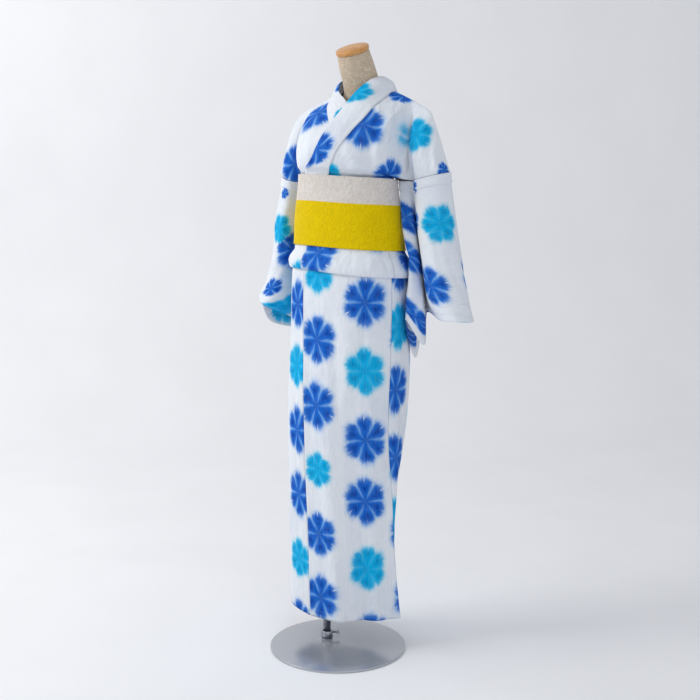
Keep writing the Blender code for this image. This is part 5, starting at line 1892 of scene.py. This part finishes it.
def make_floor(stage):
    """Floor that bends up into a backdrop behind the robe, seen from the camera."""
    foot, bend = BACKDROP_AWAY - BACKDROP_BEND, BACKDROP_BEND
    profile = [(FLOOR_FRONT, 0.0), (foot, 0.0)]
    for turn in (math.radians(7.5 * step) for step in range(1, 13)):
        profile.append((foot + bend * math.sin(turn), bend - bend * math.cos(turn)))
    profile.append((BACKDROP_AWAY, BACKDROP_HIGH))
    ahead = np.array((-math.sin(stage.azimuth), math.cos(stage.azimuth)))
    right = np.array((math.cos(stage.azimuth), math.sin(stage.azimuth)))
    points = [[(*(ahead * away + right * side), z) for side in (-FLOOR_HALF, FLOOR_HALF)]
              for away, z in profile]
    quads, _ = net_faces(len(profile), 2)
    finish = matt("pale_floor", stage.floor_colour, 0.7)
    made = add_mesh("stage_floor", points, [quad[::-1] for quad in quads], finish)


def make_stage(stage):
    """Camera, floor, lights and the even light all round."""
    make_camera(stage)
    make_floor(stage)
    for name, place, target, size, power, colour in LIGHTS:
        make_area_light(name, place, target, size, getattr(stage, power), colour)
    world = bpy.data.worlds.new("studio_air")
    world.use_nodes = True
    bpy.context.scene.view_settings.view_transform = "Standard"
    sky = world.node_tree.nodes["Background"]
    sky.inputs["Color"].default_value = AIR_COLOUR
    sky.inputs["Strength"].default_value = stage.air
    bpy.context.scene.world = world


# ---------------------------------------------------------------- operators

def finish_once(name, maker, settings):
    """The material of this name, made the first time that it is asked for."""
    return bpy.data.materials.get(name) or maker(settings)


def cotton(context):
    """The robe's cotton and the settings of its cloth."""
    cloth = context.scene.yukata_cloth
    return finish_once("dyed_cotton", dyed_cotton, cloth), cloth


class YUKATA_OT_stand(bpy.types.Operator):
    """Build the round base, its socket with the clamp lever, and the pole"""

    bl_idname = "yukata.stand"
    bl_label = "Build Stand"

    def execute(self, context):
        make_stand(tuple(context.scene.yukata_form.steel_colour))
        return {"FINISHED"}


class YUKATA_OT_dress_form(bpy.types.Operator):
    """Build the linen-covered torso and its wooden neck cap"""

    bl_idname = "yukata.dress_form"
    bl_label = "Build Dress Form"

    def execute(self, context):
        form = context.scene.yukata_form
        make_form(finish_once("natural_linen", plain_linen, form))
        make_neck_cap(finish_once("varnished_wood", varnished_wood, form))
        return {"FINISHED"}


class YUKATA_OT_skirt(bpy.types.Operator):
    """Build the six panels of the skirt and the tuck below the belt"""

    bl_idname = "yukata.skirt"
    bl_label = "Build Skirt"

    def execute(self, context):
        make_skirt(*cotton(context))
        make_tuck(*cotton(context))
        return {"FINISHED"}


class YUKATA_OT_body(bpy.types.Operator):
    """Build both body panels and the collar"""

    bl_idname = "yukata.body"
    bl_label = "Build Body"

    def execute(self, context):
        make_body(*cotton(context))
        make_collar(*cotton(context))
        return {"FINISHED"}


class YUKATA_OT_sleeves(bpy.types.Operator):
    """Build both hanging sleeves"""

    bl_idname = "yukata.sleeves"
    bl_label = "Build Sleeves"

    def execute(self, context):
        make_sleeves(*cotton(context))
        return {"FINISHED"}


class YUKATA_OT_belt(bpy.types.Operator):
    """Build the half-width belt"""

    bl_idname = "yukata.belt"
    bl_label = "Build Belt"

    def execute(self, context):
        belt = context.scene.yukata_belt
        make_belt(finish_once("figured_belt_cloth", belt_cloth, belt), belt.belt_thick)
        return {"FINISHED"}


class YUKATA_OT_stitches(bpy.types.Operator):
    """Sew the hand stitches along the hems, the collar and the sleeves"""

    bl_idname = "yukata.stitches"
    bl_label = "Sew Stitches"

    def execute(self, context):
        make_stitches(context.scene.yukata_stitches)
        return {"FINISHED"}


class YUKATA_OT_stage(bpy.types.Operator):
    """Set up the camera, the pale floor and the soft light"""

    bl_idname = "yukata.stage"
    bl_label = "Set Up Stage"

    def execute(self, context):
        make_stage(context.scene.yukata_stage)
        return {"FINISHED"}


OPERATORS = (
    YUKATA_OT_stage,
    YUKATA_OT_stand,
    YUKATA_OT_dress_form,
    YUKATA_OT_skirt,
    YUKATA_OT_body,
    YUKATA_OT_sleeves,
    YUKATA_OT_belt,
    YUKATA_OT_stitches,
)
SETTINGS = (
    ("yukata_cloth", YukataClothSettings),
    ("yukata_stitches", YukataStitchSettings),
    ("yukata_belt", YukataBeltSettings),
    ("yukata_form", YukataFormSettings),
    ("yukata_stage", YukataStageSettings),
)


class YUKATA_PT_panel(bpy.types.Panel):
    """Sizes, colours and builders of the robe"""

    bl_idname = "YUKATA_PT_panel"
    bl_label = "Yukata"
    bl_space_type = "VIEW_3D"
    bl_region_type = "UI"
    bl_category = "Yukata"

    def draw(self, context):
        for operator in OPERATORS:
            self.layout.operator(operator.bl_idname)
        for name, group in SETTINGS:
            box = self.layout.box()
            for field in group.__annotations__:
                box.prop(getattr(context.scene, name), field)


def register():
    for name, group in SETTINGS:
        bpy.utils.register_class(group)
        setattr(bpy.types.Scene, name, bpy.props.PointerProperty(type=group))
    for item in (*OPERATORS, YUKATA_PT_panel):
        bpy.utils.register_class(item)


def unregister():
    for item in reversed((*OPERATORS, YUKATA_PT_panel)):
        bpy.utils.unregister_class(item)
    for name, group in reversed(SETTINGS):
        delattr(bpy.types.Scene, name)
        bpy.utils.unregister_class(group)


def write_sizes():
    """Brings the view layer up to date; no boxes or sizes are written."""
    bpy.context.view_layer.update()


def main():
    register()
    for operator in OPERATORS:
        group, name = operator.bl_idname.split(".")
        getattr(getattr(bpy.ops, group), name)()
    write_sizes()


if __name__ == "__main__":
    main()
